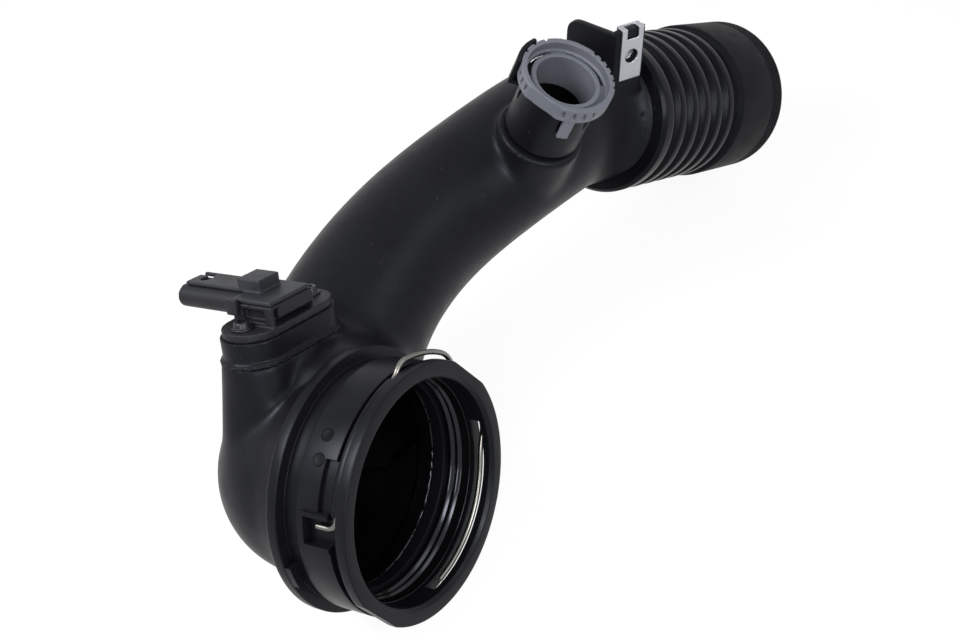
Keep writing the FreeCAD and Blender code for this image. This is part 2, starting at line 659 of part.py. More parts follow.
def clip_nut():
    """Folded sheet clip over the tongue, with a threaded barrel behind."""
    half = CLIP_WIDTH / 2.0
    front = -SEAT_GAP - CLIP_SHEET
    back = TONGUE_THICKNESS + SEAT_GAP + CLIP_SHEET
    top = TONGUE_HEIGHT + SEAT_GAP + CLIP_SHEET
    fold = block((-half, half), (front, back), (top - CLIP_LENGTH, top))
    inside = block((-half - CUT_MARGIN, half + CUT_MARGIN), (-SEAT_GAP, TONGUE_THICKNESS + SEAT_GAP),
                   (top - CLIP_LENGTH - CUT_MARGIN, TONGUE_HEIGHT + SEAT_GAP))
    short = block((-half - CUT_MARGIN, half + CUT_MARGIN), (TONGUE_THICKNESS, back + CUT_MARGIN),
                  (top - CLIP_LENGTH - CUT_MARGIN, top - CLIP_BACK_LENGTH))
    window_half = CLIP_WINDOW_WIDTH / 2.0
    window = block((-window_half, window_half), (front - CUT_MARGIN, back - CLIP_SHEET),
                   (top - CLIP_WINDOW_DROP, top + CUT_MARGIN))
    barrel = Part.makeCylinder(CLIP_HOLE_RADIUS + CLIP_BARREL_WALL, CLIP_BARREL_LENGTH,
                               V(0, back - CLIP_SHEET, CLIP_HOLE_HEIGHT), V(0, 1, 0))
    hole = Part.makeCylinder(CLIP_HOLE_RADIUS, CLIP_BARREL_LENGTH + back - front + CUT_MARGIN,
                             V(0, front - CUT_MARGIN, CLIP_HOLE_HEIGHT), V(0, 1, 0))
    clip = fold.cut([inside, short, window]).fuse(barrel).cut(hole)
    return placed(clip, BRACKET)


def screw_places():
    """The two screw centres on the socket's ears."""
    reach = SCREW_SPACING / 2.0
    return [SOCKET_SHIFT + V(0, sign * reach, 0) for sign in (-1.0, 1.0)]


def screw_pockets(bottom):
    """Cutters that leave room for each screw and its driver above a height."""
    pockets = []
    for centre in screw_places():
        pockets.append(rod(SCREW_FLANGE_RADIUS + TURN_GAP, bottom, CASE_TOP + COVER_THICKNESS + CUT_MARGIN,
                           centre.x, centre.y))
    return pockets


def sensor_socket():
    """Socket welded on the pedestal, with a bore for the sensor's spigot."""
    foot = SOCKET_BASE + SEAT_GAP
    body = stadium(SOCKET_LENGTH, SOCKET_WIDTH, foot, SOCKET_TOP, SOCKET_SHIFT)
    weld = stadium(SOCKET_LENGTH + 2 * WELD_STEP, SOCKET_WIDTH + 2 * WELD_STEP,
                   foot, foot + WELD_THICKNESS, SOCKET_SHIFT)
    cuts = [rod(SPIGOT_RADIUS + SEAT_GAP, SOCKET_BASE - CUT_MARGIN, SOCKET_TOP + CUT_MARGIN)]
    top = SOCKET_TOP + FLANGE_PLATE
    for centre in screw_places():
        cuts.append(rod(SCREW_SHANK_RADIUS + SEAT_GAP, top - SCREW_LENGTH - SEAT_GAP,
                        SOCKET_TOP + CUT_MARGIN, centre.x, centre.y))
    return placed(body.fuse(weld).cut(cuts), SENSOR).cut(duct_skin(-TURN_GAP))


def sensor_housing():
    """Sensor body: flange with ears, case, spigot, probe and connector hood."""
    top = SOCKET_TOP + FLANGE_PLATE
    flange = stadium(SOCKET_LENGTH - 2 * PEDESTAL_STEP, SOCKET_WIDTH - 2 * PEDESTAL_STEP,
                     SOCKET_TOP, top, SOCKET_SHIFT)
    case = block(CASE_X, CASE_Y, (SOCKET_TOP, CASE_TOP))
    cord_height = SOCKET_BASE + SENSOR_CORD
    spigot = turned([
        (0.0, SOCKET_BASE - SENSOR_CORD),
        (SPIGOT_RADIUS - 2 * SENSOR_CORD, SOCKET_BASE - SENSOR_CORD),
        (SPIGOT_RADIUS - 2 * SENSOR_CORD, cord_height + 2 * SENSOR_CORD),
        (SPIGOT_RADIUS, cord_height + 2 * SENSOR_CORD),
        (SPIGOT_RADIUS, SOCKET_TOP),
        (0.0, SOCKET_TOP),
    ])
    probe = rod(PROBE_RADIUS, SOCKET_BASE - SENSOR_CORD - PROBE_LENGTH, SOCKET_BASE)
    hood_x = (CASE_X[1], CASE_X[1] + HOOD_LENGTH)
    hood = hood_section(0.0).extrude(V(HOOD_LENGTH, 0, 0))
    socket = hood_section(HOOD_WALL).extrude(V(HOOD_LENGTH, 0, 0))
    hood.translate(V(hood_x[0], 0, 0))
    socket.translate(V(hood_x[0] + HOOD_LENGTH / 2.0, 0, 0))
    holes = screw_pockets(top)
    for centre in screw_places():
        holes.append(rod(SCREW_SHANK_RADIUS + SEAT_GAP, SOCKET_TOP - CUT_MARGIN, top + CUT_MARGIN,
                         centre.x, centre.y))
    holes.extend(case_grooves(top))
    body = flange.fuse([case, spigot, probe, hood])
    return placed(body.cut(holes + [socket]).removeSplitter(), SENSOR)


def case_grooves(bottom):
    """Cutters for the corner groove of the case and the pocket behind a screw."""
    front = (CASE_X[0] - CUT_MARGIN, CASE_X[0] + CASE_GROOVE_DEPTH)
    corner = CASE_Y[1] - CASE_GROOVE
    return [
        block(front, (CASE_Y[0] + CASE_GROOVE, corner), (bottom, bottom + CASE_GROOVE)),
        block(front, (corner - CASE_GROOVE, corner), (bottom, CASE_TOP - CASE_GROOVE)),
        block(CASE_POCKET_X, (CASE_Y[1] - CASE_POCKET_DEPTH, CASE_Y[1] + CUT_MARGIN),
              (bottom + CASE_GROOVE, CASE_TOP - CASE_GROOVE)),
    ]


def hood_section(inset):
    """Outline of the connector hood across its length, drawn in by inset."""
    half_height = HOOD_HEIGHT / 2.0 - inset
    reach = (HOOD_WIDTH - HOOD_HEIGHT) / 2.0
    centre = V(0, HOOD_Y, HOOD_FLOOR + HOOD_HEIGHT / 2.0)
    left = centre + V(0, reach, 0)
    right = centre - V(0, reach, 0)
    up = V(0, 0, half_height)
    edges = [
        Part.LineSegment(right + up, left + up).toShape(),
        Part.Arc(left + up, left + V(0, half_height, 0), left - up).toShape(),
        Part.LineSegment(left - up, right - up).toShape(),
        Part.Arc(right - up, right - V(0, half_height, 0), right + up).toShape(),
    ]
    return Part.Face(Part.Wire(edges))


def sensor_cover():
    """Lid of the sensor with its raised block and the latch tongue."""
    foot = CASE_TOP + SEAT_GAP
    top = foot + COVER_THICKNESS
    lid = block((CASE_X[0] + COVER_STEP, CASE_X[1]), (CASE_Y[0] + COVER_STEP, CASE_Y[1] - COVER_STEP),
                (foot, top))
    tip = CASE_X[1] + TONGUE_PLATE_LENGTH
    hood_top = HOOD_FLOOR + HOOD_HEIGHT
    tongue_bottom = max(foot, hood_top + SEAT_GAP)
    raised = block(BLOCK_X, BLOCK_Y, (tongue_bottom, top + BLOCK_HEIGHT))
    tongue = block((CASE_X[1] - COVER_STEP, tip), TONGUE_PLATE_Y,
                   (tongue_bottom, tongue_bottom + TONGUE_PLATE_THICKNESS))
    slot_length, slot_width = TONGUE_SLOT
    middle = sum(TONGUE_PLATE_Y) / 2.0
    slot = stadium(slot_width, slot_length, tongue_bottom - CUT_MARGIN, top + CUT_MARGIN,
                   V(tip - slot_width, middle, 0))
    cuts = screw_pockets(CASE_TOP - CUT_MARGIN) + [slot]
    return placed(lid.fuse([raised, tongue]).cut(cuts).removeSplitter(), SENSOR)


def sensor_o_ring():
    """Seal round the sensor's spigot."""
    height = SOCKET_BASE + 2 * SENSOR_CORD
    radius = SPIGOT_RADIUS - SENSOR_CORD
    return placed(cord_ring(radius, SENSOR_CORD - SEAT_GAP, height), SENSOR)


def sensor_screws():
    """Two flange screws that hold the sensor on its socket."""
    seat = SOCKET_TOP + FLANGE_PLATE
    screws = []
    for centre in screw_places():
        screw = turned([
            (0.0, seat - SCREW_LENGTH),
            (SCREW_SHANK_RADIUS, seat - SCREW_LENGTH),
            (SCREW_SHANK_RADIUS, seat),
            (SCREW_FLANGE_RADIUS, seat),
            (SCREW_FLANGE_RADIUS, seat + SCREW_FLANGE_HEIGHT),
            (SCREW_HEAD_RADIUS, seat + SCREW_FLANGE_HEIGHT),
            (SCREW_HEAD_RADIUS, seat + SCREW_HEAD_HEIGHT),
            (0.0, seat + SCREW_HEAD_HEIGHT),
        ])
        screw.translate(centre)
        screws.append(placed(screw, SENSOR))
    return Part.Compound(screws)


def terminal_pins():
    """Contact pins standing in the connector hood."""
    root = CASE_X[1] + HOOD_LENGTH / 2.0
    height = HOOD_FLOOR + HOOD_HEIGHT / 2.0
    half = PIN_SIZE / 2.0
    pins = []
    for number in range(PIN_COUNT):
        middle = HOOD_Y + (number - (PIN_COUNT - 1) / 2.0) * PIN_PITCH
        pin = block((root, root + PIN_LENGTH), (middle - half, middle + half), (height - half, height + half))
        pins.append(placed(pin, SENSOR))
    return Part.Compound(pins)


PIECES = [
    duct_body,
    coupler_collar,
    coupler_seal,
    retaining_wire,
    bellows_hose,
    vent_cup,
    vent_o_ring,
    vent_lock_ring,
    clip_nut,
    sensor_socket,
    sensor_housing,
    sensor_cover,
    sensor_o_ring,
    sensor_screws,
    terminal_pins,
]

os.makedirs("parts", exist_ok=True)
for piece in PIECES:
    shape = piece()
    shape.exportStep("parts/" + piece.__name__ + ".step")
    print(piece.__name__, len(shape.Solids), "solid", shape.isValid(), round(shape.Volume), "mm3")
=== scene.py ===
"""Looks of a moulded engine air duct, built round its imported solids.

Lengths in the classes are millimetres, as on the drawing; the meshes are in metres.
"""

import json
import logging
import math
from dataclasses import dataclass, replace
from enum import Enum

import bpy
import numpy as np
from mathutils import Matrix, Vector


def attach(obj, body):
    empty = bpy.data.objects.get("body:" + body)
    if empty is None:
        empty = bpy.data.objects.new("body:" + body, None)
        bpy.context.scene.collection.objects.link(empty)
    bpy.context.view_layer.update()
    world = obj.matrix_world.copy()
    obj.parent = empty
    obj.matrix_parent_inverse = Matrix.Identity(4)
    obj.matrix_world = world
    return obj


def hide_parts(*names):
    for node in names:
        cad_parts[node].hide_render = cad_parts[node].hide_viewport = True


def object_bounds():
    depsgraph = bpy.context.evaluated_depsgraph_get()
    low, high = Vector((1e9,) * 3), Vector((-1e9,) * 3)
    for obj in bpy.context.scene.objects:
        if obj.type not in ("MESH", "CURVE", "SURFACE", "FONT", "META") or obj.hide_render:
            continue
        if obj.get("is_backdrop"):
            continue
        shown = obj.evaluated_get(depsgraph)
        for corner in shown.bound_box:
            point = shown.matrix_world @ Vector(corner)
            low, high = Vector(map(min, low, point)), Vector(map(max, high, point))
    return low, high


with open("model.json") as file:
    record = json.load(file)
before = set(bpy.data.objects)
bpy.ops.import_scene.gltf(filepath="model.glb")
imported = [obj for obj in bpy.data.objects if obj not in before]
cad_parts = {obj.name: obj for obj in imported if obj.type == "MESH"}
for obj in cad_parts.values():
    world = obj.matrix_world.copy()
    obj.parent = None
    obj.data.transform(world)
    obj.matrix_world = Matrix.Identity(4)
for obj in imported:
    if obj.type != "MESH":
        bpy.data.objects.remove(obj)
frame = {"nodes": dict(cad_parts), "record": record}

LOG = logging.getLogger("air_duct")
MM = 0.001

Point = tuple[float, float, float]
Pair = tuple[float, float]
Box = tuple[Point, Point]
Colour = tuple[float, float, float, float]
Piece = bpy.types.Object
Tree = bpy.types.NodeTree
Socket = bpy.types.NodeSocket
Inputs = dict[str | int, object]

ORIGIN: Point = (0.0, 0.0, 0.0)
UP: Point = (0.0, 0.0, 1.0)
FULL_TURN = 2.0 * math.pi
# Points nearer to each other than this, in metres, are merged.
MERGE_LIMIT = 1e-6
# Largest share of an edge that the rounding at one of its ends takes.
ROUND_LIMIT = 0.49

# Feature size in millimetres and octaves of the noises in every finish.
CLOUDS: Pair = (24.0, 4.0)
SMEARS: Pair = (9.0, 5.0)
SPECKS: Pair = (1.1, 1.0)
GRAIN_OCTAVES = 3.0
NOISE_MIDDLE: Pair = (0.3, 0.7)
SPECK_PEAKS: Pair = (0.74, 0.82)
SPECK_COLOUR: Colour = (0.11, 0.105, 0.1, 1.0)
GLOSS_TINT: Colour = (0.84, 0.88, 1.0, 1.0)
DRAWN_STRETCH: Point = (0.12, 1.0, 1.0)
GRAIN_STRENGTH = 0.5


class Body(Enum):
    """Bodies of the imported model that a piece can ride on."""

    DUCT = "duct"
    LOCK_RING = "lock_ring"


class Grain(Enum):
    """Kinds of fine surface texture on a finish."""

    MOULDED = "moulded"
    RUBBER = "rubber"
    DRAWN = "drawn"
    PLATED = "plated"


class Join(Enum):
    """Ways to combine two solids."""

    ADD = "UNION"
    CUT = "DIFFERENCE"


def fill(tree: Tree, node: bpy.types.Node, inputs: Inputs) -> None:
    """Sets the inputs of a shader node.

    Args:
        tree: Node tree that it is in.
        node: Node to set.
        inputs: A value, or an output to link, for each input.
    """
    for socket, value in inputs.items():
        if isinstance(value, Socket):
            tree.links.new(value, node.inputs[socket])
        else:
            node.inputs[socket].default_value = value


def add_node(tree: Tree, kind: str, inputs: Inputs, **options: object) -> bpy.types.Node:
    """Adds a shader node.

    Args:
        tree: Node tree to add to.
        kind: Blender's name for the node.
        inputs: A value, or an output to link, for each input.
        **options: Settings of the node itself.

    Returns:
        The new node.
    """
    made = tree.nodes.new(kind)
    for option, value in options.items():
        setattr(made, option, value)
    fill(tree, made, inputs)
    return made


@dataclass(frozen=True)
class Finish:
    """A surface finish and the procedural material that shows it.

    Args:
        slot: Material slot of the record.
        colour: Linear base colour.
        shade: Second colour, for the slow variation over the surface.
        roughness: Lowest and highest roughness.
        specular: Specular level.
        metallic: 1 for bare metal.
        grain: Kind of fine texture.
        grain_size: Size of the grain in millimetres.
        depth: Height of the grain in millimetres.
        dust: Strength of the pale dust specks.
        name: Name of the material where a slot has several.
    """

    slot: str
    colour: Point
    shade: Point
    roughness: Pair
    specular: float = 0.5
    metallic: float = 0.0
    grain: Grain = Grain.MOULDED
    grain_size: float = 0.5
    depth: float = 0.01
    dust: float = 0.0
    name: str = ""

    def material(self) -> bpy.types.Material:
        """Builds the material, or gives the one built before.

        Returns:
            The node material of this finish.
        """
        name = f"{self.name or self.slot}_finish"
        found = bpy.data.materials.get(name)
        if found is not None:
            return found
        made = bpy.data.materials.new(name)
        made.use_nodes = True
        made.diffuse_color = (*self.colour, 1.0)
        tree = made.node_tree
        place = add_node(tree, "ShaderNodeTexCoord", {}).outputs["Object"]
        inputs = {"Metallic": self.metallic, "Specular IOR Level": self.specular,
                  "Base Color": self._tint(tree, place), "Roughness": self._sheen(tree, place),
                  "Normal": self._relief(tree, place)}
        if self.metallic < 1.0:
            inputs["Specular Tint"] = GLOSS_TINT
        fill(tree, tree.nodes["Principled BSDF"], inputs)
        return made

    @staticmethod
    def _noise(tree: Tree, place: Socket, size: float, octaves: float) -> Socket:
        """Adds a noise with features of a size in millimetres."""
        inputs = {"Scale": 1.0 / (size * MM), "Detail": octaves, "Vector": place}
        return add_node(tree, "ShaderNodeTexNoise", inputs).outputs["Fac"]

    @staticmethod
    def _spread(tree: Tree, value: Socket, given: Pair, wanted: Pair) -> Socket:
        """Maps the given range of a noise to the wanted one."""
        inputs = {"Value": value, "From Min": given[0], "From Max": given[1],
                  "To Min": wanted[0], "To Max": wanted[1]}
        return add_node(tree, "ShaderNodeMapRange", inputs).outputs["Result"]

    @staticmethod
    def _blend(tree: Tree, first: Colour | Socket, second: Colour, share: Socket) -> Socket:
        """Mixes a share of a second colour into a first one."""
        inputs = {"A": first, "B": second, "Factor": share}
        return add_node(tree, "ShaderNodeMix", inputs, data_type="RGBA").outputs["Result"]

    def _tint(self, tree: Tree, place: Socket) -> Socket:
        """Adds the slow colour variation, with dust specks where the finish has them.

        Args:
            tree: Node tree to add to.
            place: Coordinates to read.

        Returns:
            The colour output.
        """
        clouds = self._spread(tree, self._noise(tree, place, *CLOUDS), NOISE_MIDDLE, (0.0, 1.0))
        result = self._blend(tree, (*self.colour, 1.0), (*self.shade, 1.0), clouds)
        if self.dust > 0.0:
            grains = self._noise(tree, place, *SPECKS)
            specks = self._spread(tree, grains, SPECK_PEAKS, (0.0, self.dust))
            result = self._blend(tree, result, SPECK_COLOUR, specks)
        return result

    def _sheen(self, tree: Tree, place: Socket) -> Socket:
        """Lets the roughness wander between its limits, as on handled plastic."""
        smears = self._noise(tree, place, *SMEARS)
        return self._spread(tree, smears, NOISE_MIDDLE, self.roughness)

    def _relief(self, tree: Tree, place: Socket) -> Socket:
        """Adds the fine grain as bump.

        Args:
            tree: Node tree to add to.
            place: Coordinates to read.

        Returns:
            The bump's normal output.
        """
        if self.grain is Grain.DRAWN:
            inputs = {"Scale": DRAWN_STRETCH, "Vector": place}
            place = add_node(tree, "ShaderNodeMapping", inputs).outputs["Vector"]
        if self.grain is Grain.MOULDED:
            inputs = {"Scale": 1.0 / (self.grain_size * MM), "Vector": place}
            height = add_node(tree, "ShaderNodeTexVoronoi", inputs).outputs["Distance"]
        else:
            height = self._noise(tree, place, self.grain_size, GRAIN_OCTAVES)
        inputs = {"Strength": GRAIN_STRENGTH, "Distance": self.depth * MM, "Height": height}
        return add_node(tree, "ShaderNodeBump", inputs).outputs["Normal"]


BLACK_NYLON = Finish(
    "black_nylon", (0.0042, 0.0044, 0.0056), (0.003, 0.0031, 0.004), (0.34, 0.45),
    specular=0.1, grain_size=0.45, depth=0.012, dust=0.25)
COLLAR_NYLON = replace(
    BLACK_NYLON, roughness=(0.28, 0.38), grain_size=0.4, depth=0.006, dust=0.12,
    name="collar_nylon")
STAMP_BLACK = Finish(
    "black_nylon", (0.0016, 0.0017, 0.002), (0.001, 0.0011, 0.0014), (0.3, 0.4),
    specular=0.06, name="stamp_black")
# Inside of the elbow and its mouth: glossier, and darker than the body's nylon as painted shade in
# the bore.
GLOSS_AND_SHADE_NYLON = replace(
    STAMP_BLACK, roughness=(0.1, 0.17), specular=0.3, grain=Grain.RUBBER, grain_size=6.0,
    depth=0.06, name="inner_gloss_and_painted_shade")
SEAL_RUBBER = Finish(
    "seal_rubber", (0.003, 0.003, 0.0034), (0.002, 0.002, 0.0024), (0.12, 0.2),
    specular=0.3, grain=Grain.RUBBER, grain_size=1.6, depth=0.02)
BLACK_RUBBER = Finish(
    "black_rubber", (0.0034, 0.0036, 0.0046), (0.0024, 0.0025, 0.0032), (0.22, 0.3),
    specular=0.07, grain=Grain.RUBBER, grain_size=0.8, depth=0.015, dust=0.2)
CUFF_RUBBER = replace(
    BLACK_RUBBER, roughness=(0.5, 0.6), specular=0.06, dust=0.12, name="cuff_rubber")
GREY_PLASTIC = Finish(
    "grey_plastic", (0.085, 0.09, 0.105), (0.07, 0.075, 0.09), (0.42, 0.55),
    specular=0.35, grain_size=0.4, depth=0.01)
SENSOR_PLASTIC = Finish(
    "sensor_plastic", (0.0085, 0.0085, 0.0096), (0.006, 0.006, 0.007), (0.42, 0.54),
    specular=0.18, grain_size=0.5, depth=0.014, dust=0.3)
# The lid is the sensor's own plastic, painted lighter as painted light where it faces the lamps.
LID_PAINTED_LIGHT_PLASTIC = Finish(
    "sensor_plastic", (0.013, 0.0135, 0.016), (0.009, 0.0094, 0.0115), (0.42, 0.52),
    specular=0.22, grain_size=0.5, depth=0.01, dust=0.2, name="lid_painted_light")
SPRING_STEEL = Finish(
    "spring_steel", (0.2, 0.19, 0.175), (0.15, 0.145, 0.135), (0.24, 0.36),
    metallic=1.0, grain=Grain.DRAWN, grain_size=0.3, depth=0.008)
ZINC_STEEL = Finish(
    "zinc_steel", (0.42, 0.43, 0.46), (0.35, 0.36, 0.39), (0.36, 0.5),
    metallic=1.0, grain=Grain.PLATED, grain_size=0.7, depth=0.012)
DARK_STEEL = Finish(
    "dark_steel", (0.02, 0.02, 0.023), (0.014, 0.014, 0.016), (0.26, 0.4),
    metallic=0.6, grain=Grain.PLATED, grain_size=0.5, depth=0.01)
TIN_BRASS = Finish(
    "tin_brass", (0.6, 0.55, 0.42), (0.5, 0.46, 0.36), (0.25, 0.4),
    metallic=1.0, grain=Grain.DRAWN, grain_size=0.3, depth=0.006)
# The finish of each slot, for solids that are shown as packed.
SLOT_FINISHES = (BLACK_NYLON, SEAL_RUBBER, SPRING_STEEL, BLACK_RUBBER, GREY_PLASTIC, ZINC_STEEL,
                 SENSOR_PLASTIC, DARK_STEEL, TIN_BRASS)


@dataclass(frozen=True)
class Seat:
    """Place of a piece: a point in millimetres, where its own Z looks and where its X lies."""

    origin: Point
    z: Point
    side: Point

    def matrix(self) -> Matrix:
        """Gives the place as a matrix.

        Returns:
            The turn and the shift, in metres.
        """
        z = Vector(self.z).normalized()
        y = z.cross(Vector(self.side)).normalized()
        x = y.cross(z)
        turn = Matrix((x, y, z)).transposed().to_4x4()
        return Matrix.Translation(Vector(self.origin) * MM) @ turn

    def spot(self, local: Point) -> Point:
        """Gives a point of this seat's frame in the part's own frame, in millimetres."""
        return tuple(self.matrix() @ (Vector(local) * MM) / MM)

    def outward(self, angle: float) -> Point:
        """Gives the direction away from the seat's Z at an angle in degrees from its X."""
        turn = math.radians(angle)
        return tuple(self.matrix().to_3x3() @ Vector((math.cos(turn), math.sin(turn), 0.0)))


COUPLER_PITCH = math.radians(15.7)
COUPLER_AXIS = Vector((0.0, math.cos(COUPLER_PITCH), -math.sin(COUPLER_PITCH)))
PILOT_DEPTH = 21.0
COUPLER = Seat(tuple(COUPLER_AXIS * -PILOT_DEPTH), tuple(COUPLER_AXIS), (-1.0, 0.0, 0.0))
BELLOWS = Seat((220.8, 21.9, 24.7), (0.918, -0.208, -0.337), (0.0, 1.0, 0.0))
VENT = Seat((157.2, 25.7, 36.9), (-0.065, -0.363, 0.929), (1.0, 0.0, 0.0))
SENSOR = Seat((11.3, 51.4, 31.0), (0.25882, 0.26138, 0.92989), (0.0, 0.96269, -0.2706))


@dataclass(frozen=True)
class Corner:
    """Corner of a profile: radius, height and the radius of its rounding."""

    radius: float
    height: float
    rounding: float = 0.0

    def point(self) -> Vector:
        """Gives the corner as a point in the XZ plane, in millimetres."""
        return Vector((self.radius, 0.0, self.height))


def clear() -> None:
    """Leaves edit mode and deselects everything."""
    if bpy.context.object is not None and bpy.context.object.mode != "OBJECT":
        bpy.ops.object.mode_set(mode="OBJECT")
    bpy.ops.object.select_all(action="DESELECT")


def pick(piece: Piece) -> None:
    """Makes one piece the only selected and active object."""
    clear()
    piece.select_set(True)
    bpy.context.view_layer.objects.active = piece


def named(name: str) -> Piece:
    """Names the object just added, and its mesh."""
    piece = bpy.context.object
    piece.name = piece.data.name = name
    return piece


def edit() -> None:
    """Goes to edit mode with the whole mesh selected."""
    bpy.ops.object.mode_set(mode="EDIT")
    bpy.ops.mesh.select_all(action="SELECT")


def merge() -> None:
    """Merges the doubled points of the open mesh and leaves all of it selected."""
    bpy.ops.mesh.select_all(action="SELECT")
    bpy.ops.mesh.remove_doubles(threshold=MERGE_LIMIT)


def close() -> None:
    """Merges doubled points, turns the faces outward and leaves edit mode."""
    merge()
    bpy.ops.mesh.normals_make_consistent(inside=False)
    bpy.ops.object.mode_set(mode="OBJECT")


def seated(piece: Piece, seat: Seat) -> Piece:
    """Moves a piece made about the origin to its seat, with its place in its mesh.

    Args:
        piece: Piece to move.
        seat: Where it goes.

    Returns:
        The piece.
    """
    pick(piece)
    piece.matrix_world = seat.matrix() @ piece.matrix_world
    bpy.ops.object.transform_apply(location=True, rotation=True, scale=True)
    return piece


def rounded(corners: list[Corner], closed: bool, arc_steps: int) -> list[Vector]:
    """Rounds the corners of a profile.

    Args:
        corners: Corners of the profile in order.
        closed: Whether the last corner joins the first.
        arc_steps: Steps in each rounding.

    Returns:
        Points in metres, in the XZ plane.
    """
    points: list[Vector] = []
    count = len(corners)
    for number, corner in enumerate(corners):
        here = corner.point()
        if corner.rounding <= 0.0 or (not closed and number in (0, count - 1)):
            points.append(here)
            continue
        back = corners[number - 1].point() - here
        ahead = corners[(number + 1) % count].point() - here
        half = back.angle(ahead) / 2.0
        reach = min(corner.rounding / math.tan(half), ROUND_LIMIT * back.length,
                    ROUND_LIMIT * ahead.length)
        start, end = here + back.normalized() * reach, here + ahead.normalized() * reach
        for step in range(arc_steps + 1):
            t = step / arc_steps
            points.append(start * (1 - t) ** 2 + here * 2 * t * (1 - t) + end * t * t)
    return [point * MM for point in points]


def draw(name: str, points: list[Vector], closed: bool) -> Piece:
    """Extrudes a line point by point in a new mesh, and leaves it open and selected.

    Args:
        name: Name of the new piece.
        points: Points of the line in metres.
        closed: Whether the last point joins the first.

    Returns:
        The new piece, in edit mode.
    """
    clear()
    bpy.ops.mesh.primitive_plane_add(size=MM)
    piece = named(name)
    edit()
    bpy.ops.mesh.merge(type="CENTER")
    bpy.ops.transform.translate(value=points[0])
    line = points + points[:1] if closed else points
    for here, there in zip(line, line[1:]):
        bpy.ops.mesh.extrude_vertices_move(TRANSFORM_OT_translate={"value": there - here})
    merge()
    return piece


def turned(name: str, corners: list[Corner], seat: Seat, steps: int,
           closed: bool = True) -> Piece:
    """Draws a profile and spins it about its axis.

    Args:
        name: Name of the new piece.
        corners: Corners of the profile, outside first.
        seat: Place of the axis.
        steps: Steps of the spin.
        closed: Whether the profile is a closed loop.

    Returns:
        The turned piece, in place.
    """
    piece = draw(name, rounded(corners, closed, arc_steps=4), closed)
    bpy.ops.mesh.spin(steps=steps, angle=FULL_TURN, center=ORIGIN, axis=UP)
    close()
    return seated(piece, seat)


def plate(name: str, corners: list[Corner], thickness: float, seat: Seat) -> Piece:
    """Draws an outline in a seat's XZ plane and extrudes it into a plate along its Y.

    Args:
        name: Name of the new piece.
        corners: Corners of the outline, with their X as radius and their Z as height.
        thickness: Thickness of the plate in millimetres.
        seat: Frame that the outline is in.

    Returns:
        The plate, in place.
    """
    piece = draw(name, rounded(corners, True, arc_steps=8), True)
    bpy.ops.mesh.edge_face_add()
    way = (0.0, thickness * MM, 0.0)
    bpy.ops.mesh.extrude_region_move(TRANSFORM_OT_translate={"value": way})
    close()
    return seated(piece, seat)


def block(name: str, box: Box, seat: Seat, bevel: float = 0.0) -> Piece:
    """Adds a box between two corners of a seat's frame.

    Args:
        name: Name of the new piece.
        box: Lowest and highest corner in millimetres.
        seat: Frame that the corners are in.
        bevel: Width of the rounding on its edges, in millimetres.

    Returns:
        The box, in place.
    """
    low, high = Vector(box[0]), Vector(box[1])
    clear()
    bpy.ops.mesh.primitive_cube_add(size=1.0)
    piece = named(name)
    edit()
    bpy.ops.transform.resize(value=(high - low) * MM)
    bpy.ops.transform.translate(value=(high + low) * MM / 2.0)
    if bevel > 0.0:
        bpy.ops.mesh.bevel(offset=bevel * MM, segments=3, affect="EDGES")
    bpy.ops.object.mode_set(mode="OBJECT")
    return seated(piece, seat)


def arc(name: str, low: Pair, high: Pair, seat: Seat, span: Pair) -> Piece:
    """Spins a rectangle through part of a turn about a seat's Z.

    Args:
        name: Name of the new piece.
        low: Inner radius and lowest height in millimetres.
        high: Outer radius and greatest height in millimetres.
        seat: Frame that the sizes are in.
        span: First and last angle in degrees, from the seat's X towards its Y.

    Returns:
        The curved bar, in place.
    """
    start, end = span
    size = ((high[0] - low[0]) * MM, 1.0, (high[1] - low[1]) * MM)
    middle = ((high[0] + low[0]) * MM / 2.0, 0.0, (high[1] + low[1]) * MM / 2.0)
    clear()
    bpy.ops.mesh.primitive_plane_add(size=1.0)
    piece = named(name)
    edit()
    bpy.ops.transform.rotate(value=math.pi / 2.0, orient_axis="X", center_override=ORIGIN)
    bpy.ops.transform.resize(value=size)
    bpy.ops.transform.translate(value=middle)
    bpy.ops.mesh.spin(steps=max(3, round((end - start) / 2.0)),
                      angle=math.radians(end - start), center=ORIGIN, axis=UP)
    close()
    look = sum((point.co.xy.normalized() for point in piece.data.vertices), Vector((0.0, 0.0)))
    wanted = math.radians((start + end) / 2.0)
    piece.rotation_euler.z = wanted - math.atan2(look.y, look.x)
    bpy.context.view_layer.update()
    return seated(piece, seat)


def apply(piece: Piece, kind: str, **settings: object) -> None:
    """Adds a modifier to a piece and applies it.

    Args:
        piece: Piece to change.
        kind: Blender's name for the modifier.
        **settings: Values of the modifier.
    """
    pick(piece)
    step = piece.modifiers.new(kind.lower(), kind)
    for setting, value in settings.items():
        setattr(step, setting, value)
    bpy.ops.object.modifier_apply(modifier=step.name)


def combine(piece: Piece, how: Join, tools: list[Piece]) -> None:
    """Cuts tools out of a piece or joins them to it, and deletes them.

    Args:
        piece: Piece that stays.
        how: Whether to cut or to join.
        tools: Solids to cut or to join.
    """
    for tool in tools:
        apply(piece, "BOOLEAN", operation=how.value, solver="EXACT", object=tool)
        bpy.data.objects.remove(tool, do_unlink=True)


